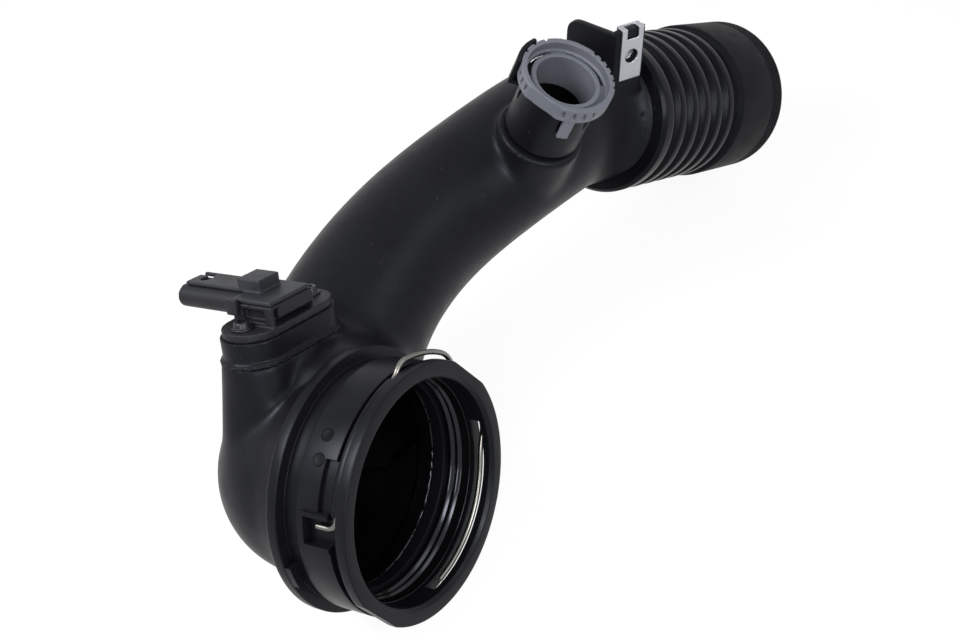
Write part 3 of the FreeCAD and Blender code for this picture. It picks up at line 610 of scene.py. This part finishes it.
def copy_of(node: str, name: str) -> Piece:
    """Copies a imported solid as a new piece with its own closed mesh.

    Args:
        node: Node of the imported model.
        name: Name of the new piece.

    Returns:
        The copy, at the origin, with its doubled points merged.
    """
    source = frame["nodes"][node]
    mesh = source.data.copy()
    mesh.name = name
    piece = bpy.data.objects.new(name, mesh)
    bpy.context.scene.collection.objects.link(piece)
    piece.matrix_world = source.matrix_world
    pick(piece)
    bpy.ops.object.transform_apply(location=True, rotation=True, scale=True)
    edit()
    close()
    return piece


def relax(piece: Piece, rounds: int, group: str = "") -> None:
    """Moves the points, or those of a group, half-way to their neighbours, many rounds."""
    apply(piece, "SMOOTH", factor=0.5, iterations=rounds, vertex_group=group)


def ease(piece: Piece, width: float) -> None:
    """Rounds the sharp edges of a piece over a width in millimetres."""
    apply(piece, "BEVEL", width=width * MM, segments=2, limit_method="ANGLE",
          angle_limit=math.radians(40.0), use_clamp_overlap=True)


def moulding(node: str, name: str, voxel: float, rounds: int, share: float = 0.5,
             cutters: tuple[Piece, ...] = ()) -> Piece:
    """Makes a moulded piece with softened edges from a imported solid.

    Args:
        node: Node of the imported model.
        name: Name of the new piece.
        voxel: Spacing of the skin's points in millimetres.
        rounds: How far the edges are softened.
        share: Share of the skin's triangles that is kept.
        cutters: Solids that are cut out first.

    Returns:
        The new piece.
    """
    piece = copy_of(node, name)
    combine(piece, Join.CUT, list(cutters))
    apply(piece, "REMESH", mode="VOXEL", voxel_size=voxel * MM)
    relax(piece, rounds)
    apply(piece, "DECIMATE", ratio=share)
    return piece


def dress(piece: Piece, finish: Finish, *nodes: str, crease: float = 45.0,
          body: Body = Body.DUCT) -> None:
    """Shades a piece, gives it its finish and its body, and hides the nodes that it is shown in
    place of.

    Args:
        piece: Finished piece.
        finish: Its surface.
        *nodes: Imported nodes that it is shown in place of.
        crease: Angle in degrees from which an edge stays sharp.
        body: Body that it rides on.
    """
    pick(piece)
    bpy.ops.object.shade_smooth_by_angle(angle=math.radians(crease))
    piece.data.materials.clear()
    piece.data.materials.append(finish.material())
    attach(piece, body.value)
    if nodes:
        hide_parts(*nodes)
    LOG.info("%s rides on %s", piece.name, body.value)


@dataclass(frozen=True)
class Zone:
    """Part of a skin: a round stretch along a seat's Z, fading out at its limits.

    Args:
        seat: Place of the stretch's axis.
        radius: Reach from the axis in millimetres.
        bottom: Start along the axis.
        top: End along the axis.
        fade: Width over which the zone fades out.
    """

    seat: Seat
    radius: float
    bottom: float
    top: float
    fade: float

    def weights(self, points: np.ndarray) -> np.ndarray:
        """Gives how far each point is inside the zone.

        Args:
            points: Points in metres, one in a row.

        Returns:
            A number from 0 to 1 for each point.
        """
        back = np.array(self.seat.matrix().inverted())
        local = (points @ back[:3, :3].T + back[:3, 3]) / MM
        reach = np.hypot(local[:, 0], local[:, 1])
        depth = np.minimum(local[:, 2] - self.bottom, self.top - local[:, 2])
        inside = np.minimum(depth, self.radius - reach)
        return np.clip(inside / self.fade, 0.0, 1.0)


@dataclass
class DuctBody:
    """Black moulding: elbow, tube, breather neck, pedestal and bracket, with flowing joints."""

    voxel: float = 1.0
    joint_rounds: int = 45
    last_rounds: int = 2
    share: float = 0.55
    levels: int = 8
    neck: Zone = Zone(VENT, 36.0, -18.0, 15.5, 5.0)
    elbow: Zone = Zone(COUPLER, 78.0, 39.0, 125.0, 8.0)
    seat_top: Zone = Zone(SENSOR, 60.0, 0.0, 40.0, 4.0)
    elbow_centre: Point = (0.0, 25.03, -7.04)
    inside_radius: float = 38.5
    mouth_radius: float = 42.0
    hollow: Point = (-25.0, 42.0, 32.0)
    hollow_radius: float = 12.0
    hollow_depth: float = 3.4

    @staticmethod
    def _rows(items: bpy.types.bpy_prop_collection, what: str) -> np.ndarray:
        """Reads a place or direction of every point or face, one in a row."""
        flat = np.empty(len(items) * 3)
        items.foreach_get(what, flat)
        return flat.reshape(-1, 3)

    def _flow(self, piece: Piece) -> None:
        """Smooths the joints of the skin into moulded fillets.

        Args:
            piece: Skin to smooth.
        """
        points = self._rows(piece.data.vertices, "co")
        joint = np.minimum(self.elbow.weights(points), 1.0 - self.seat_top.weights(points))
        weights = np.maximum(self.neck.weights(points), joint)
        group = piece.vertex_groups.new(name="joints")
        steps = np.rint(weights * self.levels).astype(int)
        for level in range(1, self.levels + 1):
            chosen = np.nonzero(steps == level)[0].tolist()
            group.add(chosen, level / self.levels, "REPLACE")
        relax(piece, self.joint_rounds, group.name)

    def _draw_in(self, piece: Piece) -> None:
        """Draws in the flank of the pedestal above the elbow's bulge.

        Args:
            piece: Skin to change.
        """
        mesh = piece.data
        points = self._rows(mesh.vertices, "co")
        away = np.linalg.norm(points / MM - np.array(self.hollow), axis=1)
        inward = np.array(self.elbow_centre) * MM - np.array(self.hollow) * MM
        inward /= np.linalg.norm(inward)
        share = np.exp(-((away / self.hollow_radius) ** 2))
        points += share[:, None] * inward * self.hollow_depth * MM
        mesh.vertices.foreach_set("co", points.ravel())
        mesh.update()

    def _gloss_and_shade_inside(self, piece: Piece) -> None:
        """Gives the inside of the elbow and of its mouth a glossy finish, darker as painted shade.

        Args:
            piece: Dressed skin.
        """
        mesh = piece.data
        # Second material: darker, glossier nylon on the inward faces of the bore, as painted shade.
        mesh.materials.append(GLOSS_AND_SHADE_NYLON.material())
        away = self._rows(mesh.polygons, "center") / MM - np.array(self.elbow_centre)
        axis = np.array(COUPLER_AXIS)
        along = np.minimum(away @ axis, 0.0)
        away -= along[:, None] * axis
        faces_in = np.sum(away * self._rows(mesh.polygons, "normal"), axis=1) < 0.0
        reach = np.where(along < 0.0, self.mouth_radius, self.inside_radius)
        inside = faces_in & (np.linalg.norm(away, axis=1) < reach)
        mesh.polygons.foreach_set("material_index", inside.astype(np.int32))
        mesh.update()

    def build(self) -> None:
        """Moulds the body and dresses it."""
        piece = copy_of("duct_body", "duct_skin")
        apply(piece, "REMESH", mode="VOXEL", voxel_size=self.voxel * MM)
        self._flow(piece)
        self._draw_in(piece)
        relax(piece, self.last_rounds)
        apply(piece, "DECIMATE", ratio=self.share)
        dress(piece, BLACK_NYLON, "duct_body", crease=50.0)
        self._gloss_and_shade_inside(piece)


@dataclass
class Coupler:
    """Quick-release collar with its lip seal and bare stamps; the wire stays as packed."""

    mouth: float = 41.1
    mouth_edge: float = 1.4
    front_radius: float = 47.5
    front_end: float = 4.0
    groove_floor: float = 43.6
    groove_end: float = 8.2
    band_radius: float = 46.0
    band_end: float = 22.0
    neck_radius: float = 44.5
    flange_radius: float = 49.0
    flange_start: float = 28.4
    flange_end: float = 33.0
    spigot_radius: float = 41.6
    spigot_start: float = 25.9
    pilot: float = 39.0
    seal_outer: float = 42.7
    seal_start: float = 10.0
    seal_end: float = 21.0
    seal_gap: float = 0.1
    lips: Pair = (15.4, 18.6)
    lip_tip: float = 39.5
    lip_half: float = 1.5
    pocket: Pair = (17.0, 29.0)
    pocket_end: float = 18.0
    frame: Pair = (15.0, 31.0)
    frame_end: float = 19.4
    frame_drop: float = 0.3
    lug: Pair = (-8.0, 3.0)
    lug_drop: float = 0.2
    overlap: float = 0.5
    recess: Pair = (31.5, 54.0)
    recess_end: float = 12.6
    recess_depth: float = 1.6
    catch_window: Pair = (182.0, 284.0)
    rail: Pair = (31.0, 98.0)
    rail_edges: Pair = (4.5, 6.6)
    rail_rise: float = 0.4
    rail_round: float = 0.25
    flats: Pair = (149.0, 334.0)
    flat_depth: float = 1.4
    past: float = 3.0
    stamp_depth: float = 15.5
    stamp_sink: float = 0.2
    stamp_angles: Pair = (63.6, 52.9)
    stamp: tuple[Corner, ...] = (
        Corner(2.4, 0.0), Corner(2.4, 0.5, 0.2), Corner(1.9, 0.5, 0.2), Corner(1.9, 0.3, 0.1),
        Corner(0.0, 0.3))

    def _profile(self) -> list[Corner]:
        """Gives the corners of the collar's wall, step by step from the mouth's edge.

        Returns:
            The corners, the outside first and then the inside back to the mouth.
        """
        corners, edge = [Corner(self.mouth + self.mouth_edge, 0.0, 0.7)], 0.0
        for radius, end, first_round, last_round in (
                (self.front_radius, self.front_end, 0.6, 0.3),
                (self.groove_floor, self.groove_end, 0.2, 0.2),
                (self.band_radius, self.band_end, 0.3, 0.4),
                (self.neck_radius, self.flange_start, 0.4, 0.4),
                (self.flange_radius, self.flange_end, 0.5, 1.2),
                (self.spigot_radius, self.spigot_start, 0.2, 0.1),
                (self.pilot, self.seal_end, 0.2, 0.3),
                (self.seal_outer, self.seal_start, 0.1, 0.1),
                (self.mouth, self.mouth_edge, 0.2, 0.7)):
            corners += [Corner(radius, edge, first_round), Corner(radius, end, last_round)]
            edge = end
        return corners

    def _bars(self) -> list[Piece]:
        """Makes the raised frame round the pocket and the lug on the flange."""
        return [
            arc("frame_bar", (self.neck_radius, self.groove_end - self.overlap),
                (self.front_radius - self.frame_drop, self.frame_end), COUPLER, self.frame),
            arc("lug_bar", (self.neck_radius - self.overlap, self.spigot_start),
                (self.flange_radius - self.lug_drop, self.flange_start + 2.0 * self.overlap),
                COUPLER, self.lug),
        ]

    def _cutters(self) -> list[Piece]:
        """Makes the cutters of the pocket, the wire's window, the recess and the flats.

        Returns:
            The cutters, in place.
        """
        top, wide = self.front_radius + self.past, self.front_radius
        cutters = [
            arc("pocket_cutter", (self.groove_floor, self.front_end),
                (top, self.pocket_end), COUPLER, self.pocket),
            arc("catch_cutter", (self.mouth - self.past, self.front_end),
                (top, self.groove_end), COUPLER, self.catch_window),
            arc("recess_cutter",
                (self.band_radius - self.recess_depth, self.groove_end - 2.0 * self.overlap),
                (top, self.recess_end), COUPLER, self.recess),
        ]
        flat = ((wide - self.flat_depth, -wide, -self.past), (top, wide, self.front_end))
        for angle in self.flats:
            seat = Seat(COUPLER.origin, COUPLER.z, COUPLER.outward(angle))
            cutters.append(block("flat_cutter", flat, seat))
        return cutters

    def _collar(self) -> None:
        """Turns the collar, works its outside and lays the wire's rail."""
        piece = turned("collar_skin", self._profile(), COUPLER, steps=180)
        combine(piece, Join.ADD, self._bars())
        combine(piece, Join.CUT, self._cutters())
        low, high = self.rail_edges
        rail = arc("wire_rail", (self.band_radius, low),
                   (self.band_radius + self.rail_rise, high), COUPLER, self.rail)
        ease(rail, self.rail_round)
        dress(rail, COLLAR_NYLON, crease=40.0)
        dress(piece, COLLAR_NYLON, "coupler_collar", crease=35.0)

    def _seal(self) -> None:
        """Turns the seal: a smooth front part and two broad rounded lips."""
        outer, inner = self.seal_outer - self.seal_gap, self.mouth - self.seal_gap
        start, end = self.seal_start + self.seal_gap, self.seal_end - self.seal_gap
        corners = [Corner(outer, end), Corner(outer, start), Corner(inner, start, 0.3)]
        for middle in self.lips:
            corners.append(Corner(inner, middle - self.lip_half, 0.7))
            corners.append(Corner(self.lip_tip, middle, 1.0))
            corners.append(Corner(inner, middle + self.lip_half, 0.7))
        corners.append(Corner(inner, end))
        piece = turned("seal_lips", corners, COUPLER, steps=160)
        dress(piece, SEAL_RUBBER, "coupler_seal", crease=60.0)

    def _stamp(self, number: int, angle: float) -> None:
        """Raises a small round bare stamp on the band.

        Args:
            number: Which stamp it is.
            angle: Where it sits round the band, in degrees.
        """
        turn = math.radians(angle)
        reach = self.band_radius - self.stamp_sink
        foot = (reach * math.cos(turn), reach * math.sin(turn), self.stamp_depth)
        seat = Seat(COUPLER.spot(foot), COUPLER.outward(angle), COUPLER.z)
        piece = turned(f"band_stamp_{number}", list(self.stamp), seat, steps=40, closed=False)
        dress(piece, STAMP_BLACK, crease=40.0)

    def build(self) -> None:
        """Makes the collar and the seal and sets the stamps."""
        self._collar()
        self._seal()
        for number, angle in enumerate(self.stamp_angles):
            self._stamp(number, angle)


@dataclass
class BellowsHose:
    """Rubber bellows with a bonded end, rounded ridges and a plain cuff."""

    ridges: int = 6
    pitch: float = 11.0
    crest_radius: float = 36.4
    valley_radius: float = 32.6
    first_ridge: float = 5.7
    first_flank: float = 3.8
    edge_drop: float = 1.6
    flank: float = 4.3
    shoulder: float = 2.6
    shoulder_drop: float = 0.2
    saddle: float = 6.6
    saddle_rise: float = 0.6
    tube_radius: float = 30.1
    cuff_radius: float = 37.6
    cuff_start: float = 67.0
    cuff_slope: float = 2.0
    length: float = 110.8
    bore: float = 30.6
    cuff_bore: float = 34.0
    cuff_depth: float = 40.0
    spigot: float = 16.1
    grooves: int = 4
    groove_pitch: float = 2.2
    groove_depth: float = 0.6
    groove_width: float = 1.1
    groove_flat: Pair = (0.35, 0.75)
    end_land: float = 1.6

    def _ridges(self) -> list[Corner]:
        """Gives the corners of the bonded end and of the ridges.

        Returns:
            The corners up to the foot of the cuff.
        """
        crest, valley = self.crest_radius, self.valley_radius
        side = crest - self.shoulder_drop
        corners = [Corner(self.tube_radius, 0.0), Corner(crest - self.edge_drop, 0.0, 0.6)]
        for number in range(self.ridges):
            middle = self.first_ridge + number * self.pitch
            if number == 0:
                corners.append(Corner(crest, middle - self.first_flank, 0.8))
            else:
                corners.append(Corner(valley, middle - self.flank, 1.1))
                corners.append(Corner(side, middle - self.shoulder, 1.5))
            corners.append(Corner(crest, middle))
            corners.append(Corner(side, middle + self.shoulder, 1.5))
            corners.append(Corner(valley, middle + self.flank, 1.1))
        corners.append(Corner(valley + self.saddle_rise, middle + self.saddle, 2.0))
        return corners

    def _cuff(self) -> list[Corner]:
        """Gives the corners of the cuff, its grooves and the bore.

        Returns:
            The corners from the foot of the cuff back to the tube.
        """
        cuff, floor = self.cuff_radius, self.cuff_radius - self.groove_depth
        corners = [Corner(cuff, self.cuff_start + self.cuff_slope, 3.0)]
        start = self.length - self.end_land - self.grooves * self.groove_pitch
        for number in range(self.grooves):
            edge = start + number * self.groove_pitch
            corners.append(Corner(cuff, edge, 0.2))
            corners += [Corner(floor, edge + step, 0.15) for step in self.groove_flat]
            corners.append(Corner(cuff, edge + self.groove_width, 0.2))
        stop = self.length - self.cuff_depth
        return corners + [
            Corner(cuff, self.length, 1.3), Corner(self.cuff_bore, self.length, 0.8),
            Corner(self.cuff_bore, stop, 0.8), Corner(self.bore, stop, 1.0),
            Corner(self.bore, self.spigot), Corner(self.tube_radius, self.spigot),
        ]

    def build(self) -> None:
        """Turns the bellows and dresses it, with a duller cuff."""
        piece = turned("bellows_skin", self._ridges() + self._cuff(), BELLOWS, steps=128)
        dress(piece, BLACK_RUBBER, "bellows_hose", crease=50.0)
        piece.data.materials.append(CUFF_RUBBER.material())
        back = BELLOWS.matrix().inverted()
        for face in piece.data.polygons:
            if (back @ face.center).z > self.cuff_start * MM:
                face.material_index = 1


@dataclass
class BreatherPort:
    """Black quick-connect cup and the grey ribbed ring that turns on it."""

    cup_voxel: float = 0.4
    ring_voxel: float = 0.34
    rounds: int = 1
    ring_share: float = 0.6

    def build(self) -> None:
        """Moulds the cup and the ring."""
        cup = moulding("vent_cup", "cup_skin", self.cup_voxel, self.rounds)
        dress(cup, BLACK_NYLON, "vent_cup")
        ring = moulding("vent_lock_ring", "ring_skin", self.ring_voxel, self.rounds,
                        self.ring_share)
        dress(ring, GREY_PLASTIC, "vent_lock_ring", body=Body.LOCK_RING)


@dataclass
class SensorUnit:
    """Plug-in sensor: welded socket, body with its connector hood, and lid with a forked tongue."""

    voxel: float = 0.4
    lid_voxel: float = 0.36
    rounds: int = 2
    shift: Pair = (-2.0, -2.0)
    socket_length: float = 51.0
    socket_width: float = 24.0
    weld_height: float = 4.1
    weld_radius: float = 0.75
    weld_offset: float = 0.4
    weld_points: int = 220
    wave_height: float = 0.22
    wave_rates: Pair = (0.9, 0.37)
    wave_start: float = 1.0
    swell: float = 0.35
    swell_rates: Pair = (1.7, 0.53)
    slot: Box = ((-14.0, -9.0, 16.2), (-8.0, 10.9, 18.6))
    slot_corner: Box = ((-14.0, 8.7, 16.2), (-10.0, 10.9, 22.4))
    fork: Box = ((28.0, -4.6, 15.0), (48.0, -2.6, 34.0))
    hook: Box = ((1.6, 12.7, 19.6), (6.6, 14.4, 25.5))
    hook_round: float = 0.35
    screw_reach: float = 18.5
    screw_seat: float = 16.0
    screw: tuple[Corner, ...] = (
        Corner(0.0, -9.0), Corner(1.9, -9.0, 0.3), Corner(1.9, 0.0), Corner(3.9, 0.0, 0.2),
        Corner(3.9, 0.9, 0.3), Corner(3.0, 1.0, 0.3), Corner(2.8, 3.0, 0.8), Corner(0.0, 3.2))
    key_radius: float = 1.5
    key: Pair = (1.6, 5.0)

    def _outline(self, share: float) -> Pair:
        """Follows the weld's outline, two half rounds joined by straight sides.

        Args:
            share: Share of the way round.

        Returns:
            The point there, in the socket's own frame.
        """
        reach = (self.socket_length - self.socket_width) / 2.0
        half = self.socket_width / 2.0 + self.weld_offset
        around, side = math.pi * half, 2.0 * reach
        way = 2.0 * (around + side) * share
        if way < around:
            return half * math.cos(way / half), reach + half * math.sin(way / half)
        if way < around + side:
            return -half, reach - (way - around)
        if way < 2.0 * around + side:
            turn = math.pi + (way - around - side) / half
            return half * math.cos(turn), -reach + half * math.sin(turn)
        return half, -reach + (way - 2.0 * around - side)

    def _weld(self) -> None:
        """Lays the uneven weld bead round the socket's foot."""
        path = bpy.data.curves.new("weld_bead", "CURVE")
        path.dimensions = "3D"
        path.bevel_depth = self.weld_radius * MM
        path.bevel_resolution = 3
        line = path.splines.new("POLY")
        line.use_cyclic_u = True
        line.points.add(self.weld_points - 1)
        place = SENSOR.matrix()
        wave, swell = self.wave_rates, self.swell_rates
        for number, point in enumerate(line.points):
            x, y = self._outline(number / self.weld_points)
            rise = math.sin(number * wave[0]) * math.sin(number * wave[1] + self.wave_start)
            height = self.weld_height + self.wave_height * rise
            spot = Vector((x + self.shift[0], y + self.shift[1], height)) * MM
            point.co = (*(place @ spot), 1.0)
            bulge = math.sin(number * swell[0]) * math.sin(number * swell[1])
            point.radius = 1.0 + self.swell * bulge
        bead = bpy.data.objects.new("weld_bead", path)
        bpy.context.scene.collection.objects.link(bead)
        pick(bead)
        bpy.ops.object.convert(target="MESH")
        bead = bpy.context.object
        dress(bead, BLACK_NYLON, crease=60.0)

    def _case(self) -> None:
        """Moulds the socket, the body with its deep slot, and the forked lid with its hook."""
        socket = moulding("sensor_socket", "sensor_socket_skin", self.voxel, self.rounds)
        dress(socket, BLACK_NYLON, "sensor_socket")
        cutters = tuple(block("slot_cutter", box, SENSOR)
                        for box in (self.slot, self.slot_corner))
        housing = moulding("sensor_housing", "sensor_housing_skin", self.voxel, self.rounds,
                           cutters=cutters)
        dress(housing, SENSOR_PLASTIC, "sensor_housing")
        fork = block("fork_cutter", self.fork, SENSOR)
        lid = moulding("sensor_cover", "sensor_cover_skin", self.lid_voxel, self.rounds,
                       cutters=(fork,))
        # The lid's lighter colour is painted light on the sensor's plastic.
        dress(lid, LID_PAINTED_LIGHT_PLASTIC, "sensor_cover")
        hook = block("lid_hook", self.hook, SENSOR, self.hook_round)
        dress(hook, SENSOR_PLASTIC, crease=40.0)

    def _screws(self) -> None:
        """Turns the two screws, each with a shank, a washer, a dome and a six-sided socket."""
        screws = []
        for number, side in enumerate((-1.0, 1.0)):
            centre = (self.shift[0], self.shift[1] + side * self.screw_reach, self.screw_seat)
            seat = Seat(SENSOR.spot(centre), SENSOR.z, SENSOR.side)
            screw = turned(f"screw_{number}", list(self.screw), seat, steps=48, closed=False)
            bottom, top = self.key
            clear()
            bpy.ops.mesh.primitive_cylinder_add(
                vertices=6, radius=self.key_radius * MM, depth=(top - bottom) * MM,
                location=(0.0, 0.0, (bottom + top) / 2.0 * MM))
            key = seated(named("key_cutter"), seat)
            combine(screw, Join.CUT, [key])
            screws.append(screw)
        pick(screws[0])
        screws[1].select_set(True)
        bpy.ops.object.join()
        screws[0].name = "screws_skin"
        dress(screws[0], DARK_STEEL, "sensor_screws", crease=35.0)

    def build(self) -> None:
        """Makes the case, the weld and the screws."""
        self._case()
        self._weld()
        self._screws()


@dataclass
class Bracket:
    """Folded sheet-metal clip nut on the bracket's tongue, and the wing's clean outer skin."""

    voxel: float = 0.26
    rounds: int = 2
    share: float = 0.6
    foot: Point = (214.0, 5.8, 52.0)
    side: Point = (0.86, -0.51, 0.0)
    half_width: float = 7.5
    wing_turn: float = 22.0
    wing_start: float = 0.4
    wing_length: float = 26.3
    wing_top: float = 23.5
    wing_bottom: float = -6.0
    wing_thickness: float = 3.1
    wing_offset: float = 0.25
    wing_round: float = 6.5
    wing_edge: float = 0.4

    def _wing(self) -> None:
        """Extrudes the wing's outline with its rounded corner."""
        side = Vector(self.side).normalized()
        corner = Vector(self.foot) - side * self.half_width
        turn = Matrix.Rotation(math.radians(self.wing_turn), 3, "Z")
        back = turn @ Vector((-side.y, side.x, 0.0))
        across = Vector((-back.y, back.x, 0.0))
        seat = Seat(tuple(corner + across * self.wing_offset), UP, tuple(back))
        corners = [
            Corner(self.wing_start, self.wing_bottom), Corner(self.wing_length, self.wing_bottom),
            Corner(self.wing_length, self.wing_top, self.wing_round),
            Corner(self.wing_start, self.wing_top, 1.0),
        ]
        piece = plate("bracket_wing", corners, -self.wing_thickness, seat)
        ease(piece, self.wing_edge)
        dress(piece, BLACK_NYLON, crease=40.0)

    def build(self) -> None:
        """Moulds the clip with soft bends and makes the wing."""
        clip = moulding("clip_nut", "clip_sheet", self.voxel, self.rounds, self.share)
        dress(clip, ZINC_STEEL, "clip_nut")
        self._wing()


@dataclass(frozen=True)
class Lamp:
    """Square lamp: its place and width in millimetres and its power in watts."""

    place: Point
    width: float
    power: float


@dataclass
class Studio:
    """Camera, lamps, white background and pale floor, at a level in metres."""

    level: float
    camera_place: Point = (-251.63, -183.97, 357.8)
    right: Point = (0.4948, -0.869, 0.0)
    forward: Point = (0.6458, 0.3678, -0.6691)
    lens: float = 48.75
    film_width: float = 36.0
    nearest: float = 10.0
    lamps: tuple[Lamp, ...] = (
        Lamp((-330.0, 420.0, 560.0), 320.0, 8.0), Lamp((380.0, -420.0, 600.0), 300.0, 0.8),
        Lamp((-520.0, -260.0, 380.0), 260.0, 2.2), Lamp((-120.0, -500.0, 430.0), 260.0, 3.6))
    aim: Point = (130.0, 30.0, 0.0)
    white: Colour = (1.0, 1.0, 1.0, 1.0)
    sky_light: float = 0.55
    sky_seen: float = 1.0
    floor_size: float = 8000.0
    floor_middle: float = 100.0
    floor_colour: Colour = (0.82, 0.82, 0.82, 1.0)
    floor_roughness: float = 0.9
    floor_specular: float = 0.1
    floor_white: float = 0.9

    def _camera(self) -> None:
        """Stands the camera where the photograph was taken from."""
        lens = bpy.data.cameras.new("camera")
        lens.lens = self.lens
        lens.sensor_width = self.film_width
        lens.clip_start = self.nearest * MM
        stand = bpy.data.objects.new("camera", lens)
        bpy.context.scene.collection.objects.link(stand)
        right, forward = Vector(self.right), Vector(self.forward)
        up = right.cross(forward)
        turn = Matrix((right, up, -forward)).transposed().to_4x4()
        stand.matrix_world = Matrix.Translation(Vector(self.camera_place) * MM) @ turn
        bpy.context.scene.camera = stand

    def _light(self) -> None:
        """Hangs the soft lamps."""
        for number, lamp in enumerate(self.lamps):
            light = bpy.data.lights.new(f"lamp_{number}", "AREA")
            light.size = lamp.width * MM
            light.energy = lamp.power
            holder = bpy.data.objects.new(f"lamp_{number}", light)
            bpy.context.scene.collection.objects.link(holder)
            holder.location = Vector(lamp.place) * MM
            look = Vector(self.aim) - Vector(lamp.place)
            holder.rotation_euler = look.to_track_quat("-Z", "Y").to_euler()

    @staticmethod
    def _seen(tree: Tree) -> Socket:
        """Adds a switch for what the camera, gloss and glass see.

        Args:
            tree: Node tree to add to.

        Returns:
            An output that is 1 for what they see and 0 for other light.
        """
        path = add_node(tree, "ShaderNodeLightPath", {})
        total = path.outputs["Is Camera Ray"]
        for name in ("Is Glossy Ray", "Is Transmission Ray"):
            inputs = {0: total, 1: path.outputs[name]}
            join = add_node(tree, "ShaderNodeMath", inputs, operation="MAXIMUM")
            total = join.outputs["Value"]
        return total

    def _background(self) -> None:
        """Makes the world white to the camera and of a plain level as light."""
        world = bpy.data.worlds.new("studio")
        bpy.context.scene.world = world
        world.use_nodes = True
        tree = world.node_tree
        tree.nodes.clear()
        inputs: Inputs = {"Fac": self._seen(tree)}
        for number, strength in enumerate((self.sky_light, self.sky_seen), 1):
            sky = {"Color": self.white, "Strength": strength}
            inputs[number] = add_node(tree, "ShaderNodeBackground", sky).outputs["Background"]
        mix = add_node(tree, "ShaderNodeMixShader", inputs)
        add_node(tree, "ShaderNodeOutputWorld", {"Surface": mix.outputs["Shader"]})

    def _floor_paint(self) -> bpy.types.Material:
        """Makes the floor's paint, nearly white to the camera but with the part's shadow.

        Returns:
            The material.
        """
        made = bpy.data.materials.new("floor_paint")
        made.use_nodes = True
        tree = made.node_tree
        shader = tree.nodes["Principled BSDF"]
        fill(tree, shader, {
            "Base Color": self.floor_colour, "Roughness": self.floor_roughness,
            "Specular IOR Level": self.floor_specular})
        inputs = {0: self._seen(tree), 1: self.floor_white}
        share = add_node(tree, "ShaderNodeMath", inputs, operation="MULTIPLY")
        white = add_node(tree, "ShaderNodeEmission", {})
        mix = add_node(tree, "ShaderNodeMixShader", {
            "Fac": share.outputs["Value"], 1: shader.outputs["BSDF"],
            2: white.outputs["Emission"]})
        fill(tree, tree.nodes["Material Output"], {"Surface": mix.outputs["Shader"]})
        return made

    def _floor(self) -> None:
        """Lays a wide pale floor under the part."""
        clear()
        bpy.ops.mesh.primitive_plane_add(size=self.floor_size * MM,
                                         location=(self.floor_middle * MM, 0.0, self.level))
        ground = bpy.context.object
        ground.name = "floor"
        ground.data.materials.append(self._floor_paint())
        ground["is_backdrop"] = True

    def build(self) -> None:
        """Sets up the whole studio."""
        bpy.context.scene.view_settings.view_transform = "Standard"
        self._camera()
        self._light()
        self._background()
        self._floor()


def dress_nodes() -> None:
    """Gives every carried-over solid the finish of its slot."""
    by_slot = {finish.slot: finish for finish in SLOT_FINISHES}
    for part in frame["record"]["subparts"]:
        node = frame["nodes"][part["node"]]
        node.data.materials.clear()
        node.data.materials.append(by_slot[part["material_slot"]].material())


def main() -> None:
    """Builds the pieces in order, then the studio round them."""
    logging.basicConfig(level=logging.INFO)
    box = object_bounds()
    dress_nodes()
    DuctBody().build()
    Coupler().build()
    BellowsHose().build()
    BreatherPort().build()
    SensorUnit().build()
    Bracket().build()
    Studio(box[0][2]).build()


if __name__ == "__main__":
    main()
